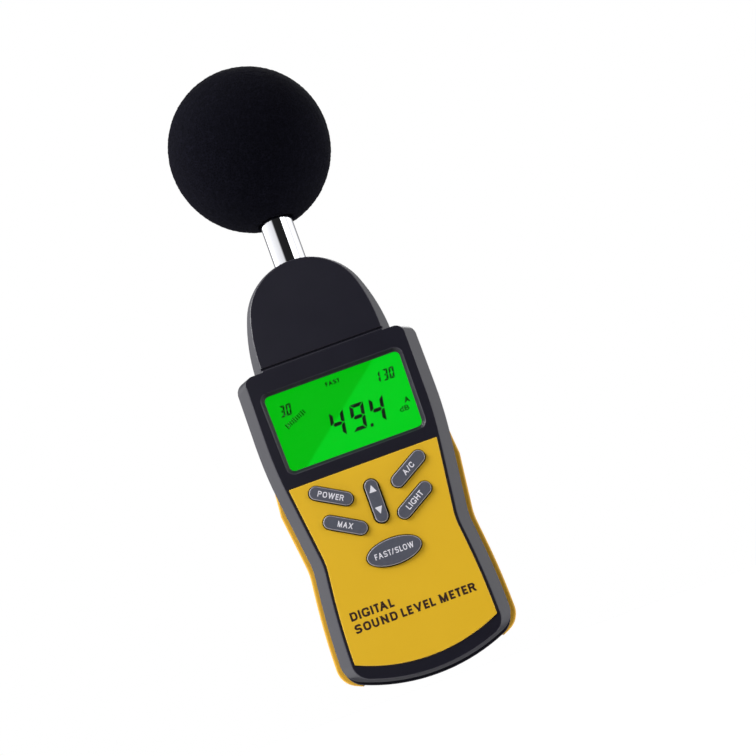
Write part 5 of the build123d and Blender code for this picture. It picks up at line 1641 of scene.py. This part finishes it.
# ------------------------------------------------------------------ studio
@dataclass
class Studio:
    """A pale floor, soft light from both sides and the camera in front, below the middle."""

    distance: float = 0.480
    look_up_deg: float = 10.0
    roll_deg: float = 19.85
    aim_right_deg: float = 1.47
    aim_up_deg: float = 1.46
    lens_mm: float = 62.8
    sensor_mm: float = 36.0
    floor_drop: float = 0.40
    floor_glow: float = 0.75  # lit from under, as a light table is, so that it meets the surround
    target: Vector = Vector((0.0, -0.034, 0.020))

    def camera(self) -> None:
        """Place the camera by its distance, tilt and roll about the display's middle."""
        tilt = math.radians(self.look_up_deg)
        roll = math.radians(self.roll_deg)
        ahead = Vector((0.0, math.cos(tilt), math.sin(tilt)))
        level_up = Vector((0.0, -math.sin(tilt), math.cos(tilt)))
        side = Vector((1.0, 0.0, 0.0))
        up = level_up * math.cos(roll) + side * math.sin(roll)
        right = side * math.cos(roll) - level_up * math.sin(roll)
        aimed = ahead + right * math.tan(math.radians(self.aim_right_deg)) + up * math.tan(
            math.radians(self.aim_up_deg)
        )
        aimed.normalize()
        across = aimed.cross(up).normalized()
        upright = across.cross(aimed)
        turn = Matrix((across, upright, -aimed)).transposed()
        data = bpy.data.cameras.new("camera")
        data.lens = self.lens_mm
        data.sensor_width = self.sensor_mm
        data.clip_start = 0.01
        data.clip_end = 50.0
        camera = linked("camera", data)
        camera.matrix_world = Matrix.Translation(self.target - ahead * self.distance) @ turn.to_4x4()
        bpy.context.scene.camera = camera

    def lamp(self, name: str, place: Vector, size: float, watts: float, aim: Vector) -> None:
        """Add one soft square lamp that looks at a point."""
        data = bpy.data.lights.new(name, "AREA")
        data.size = size
        data.energy = watts
        lamp = linked(name, data)
        lamp.location = place
        lamp.rotation_mode = "QUATERNION"
        lamp.rotation_quaternion = (place - aim).to_track_quat("Z", "Y")

    def sky(self) -> None:
        """A white surround: bright at both sides, dark behind the camera, as black card gives."""
        world = bpy.data.worlds.new("studio")
        world.use_nodes = True
        bpy.context.scene.world = world
        tree = world.node_tree
        tree.nodes.clear()
        where = add_node(tree, "ShaderNodeTexCoord").outputs["Generated"]
        parts = add_node(tree, "ShaderNodeSeparateXYZ", links={0: where})
        front = add_node(tree, "ShaderNodeMath", {1: -1.0}, {0: parts.outputs[1]}, operation="MULTIPLY")
        around = add_node(
            tree, "ShaderNodeMath", links={0: parts.outputs[0], 1: front.outputs[0]}, operation="ARCTAN2"
        )
        share = add_node(
            tree, "ShaderNodeMapRange", {"From Min": -math.pi, "From Max": math.pi}, {"Value": around.outputs[0]}
        )
        ramp = add_node(tree, "ShaderNodeValToRGB", links={"Fac": share.outputs[0]})
        stops = (
            (-180, 0.25), (-142, 0.25), (-130, 1.6), (-108, 3.0), (-88, 1.3), (-32, 0.92), (-22, 0.02),
            (50, 0.015), (66, 0.95), (88, 1.25), (106, 2.7), (120, 1.2), (136, 1.0), (144, 0.25), (180, 0.25),
        )
        elements = ramp.color_ramp.elements
        while len(elements) < len(stops):
            elements.new(0.5)
        for element, (angle, value) in zip(elements, stops):
            element.position = (angle + 180) / 360
            element.color = (value, value, value * 1.02, 1.0)
        studio = add_node(tree, "ShaderNodeBackground", {"Strength": 0.9}, {"Color": ramp.outputs[0]})
        white = add_node(tree, "ShaderNodeBackground", {"Color": (1, 1, 1, 1), "Strength": 1.0})
        seen = add_node(tree, "ShaderNodeLightPath").outputs["Is Camera Ray"]
        mix = add_node(
            tree, "ShaderNodeMixShader", links={0: seen, 1: studio.outputs[0], 2: white.outputs[0]}
        )
        add_node(tree, "ShaderNodeOutputWorld", links={"Surface": mix.outputs[0]})

    def build(self) -> None:
        """Set the camera, the lights and the floor."""
        self.camera()
        self.sky()
        bpy.context.scene.view_settings.view_transform = "Standard"
        middle = Vector((0.0, -0.02, 0.03))
        self.lamp("key_lamp", Vector((-0.75, -0.55, 0.75)), 0.5, 12.5, middle)
        self.lamp("fill_lamp", Vector((0.8, -0.6, 0.2)), 0.6, 2.5, middle)
        self.lamp("rear_lamp", Vector((0.3, 0.9, 0.8)), 0.7, 8.0, middle)
        floor = linked("floor", mesh_of("floor", [(-6, -0.2, 0), (6, -0.2, 0), (6, 8, 0), (-6, 8, 0)], [(0, 1, 2, 3)]))
        floor.location.z = -self.floor_drop
        paint = Finish("floor_matt_paint", "f4f4f6", roughness=0.9, grain_depth_mm=0.0).material()
        shader = paint.node_tree.nodes["Principled BSDF"]
        shader.inputs["Emission Color"].default_value = linear("ffffff")
        shader.inputs["Emission Strength"].default_value = self.floor_glow
        floor.data.materials.append(paint)
        floor.visible_glossy = False


def main() -> None:
    """Load the frame and build the object around it."""
    logging.basicConfig(level=logging.INFO, format="%(name)s: %(message)s")
    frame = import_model()
    Studio().build()
    paints = Paints()
    groups: tuple[Callable[..., Any], ...] = (
        Case, Grips, FacePanel, Keypad, Display, Microphone, Windscreen, Power, Board,
    )
    for group in groups:
        group(frame, paints).build()


if __name__ == "__main__":
    main()
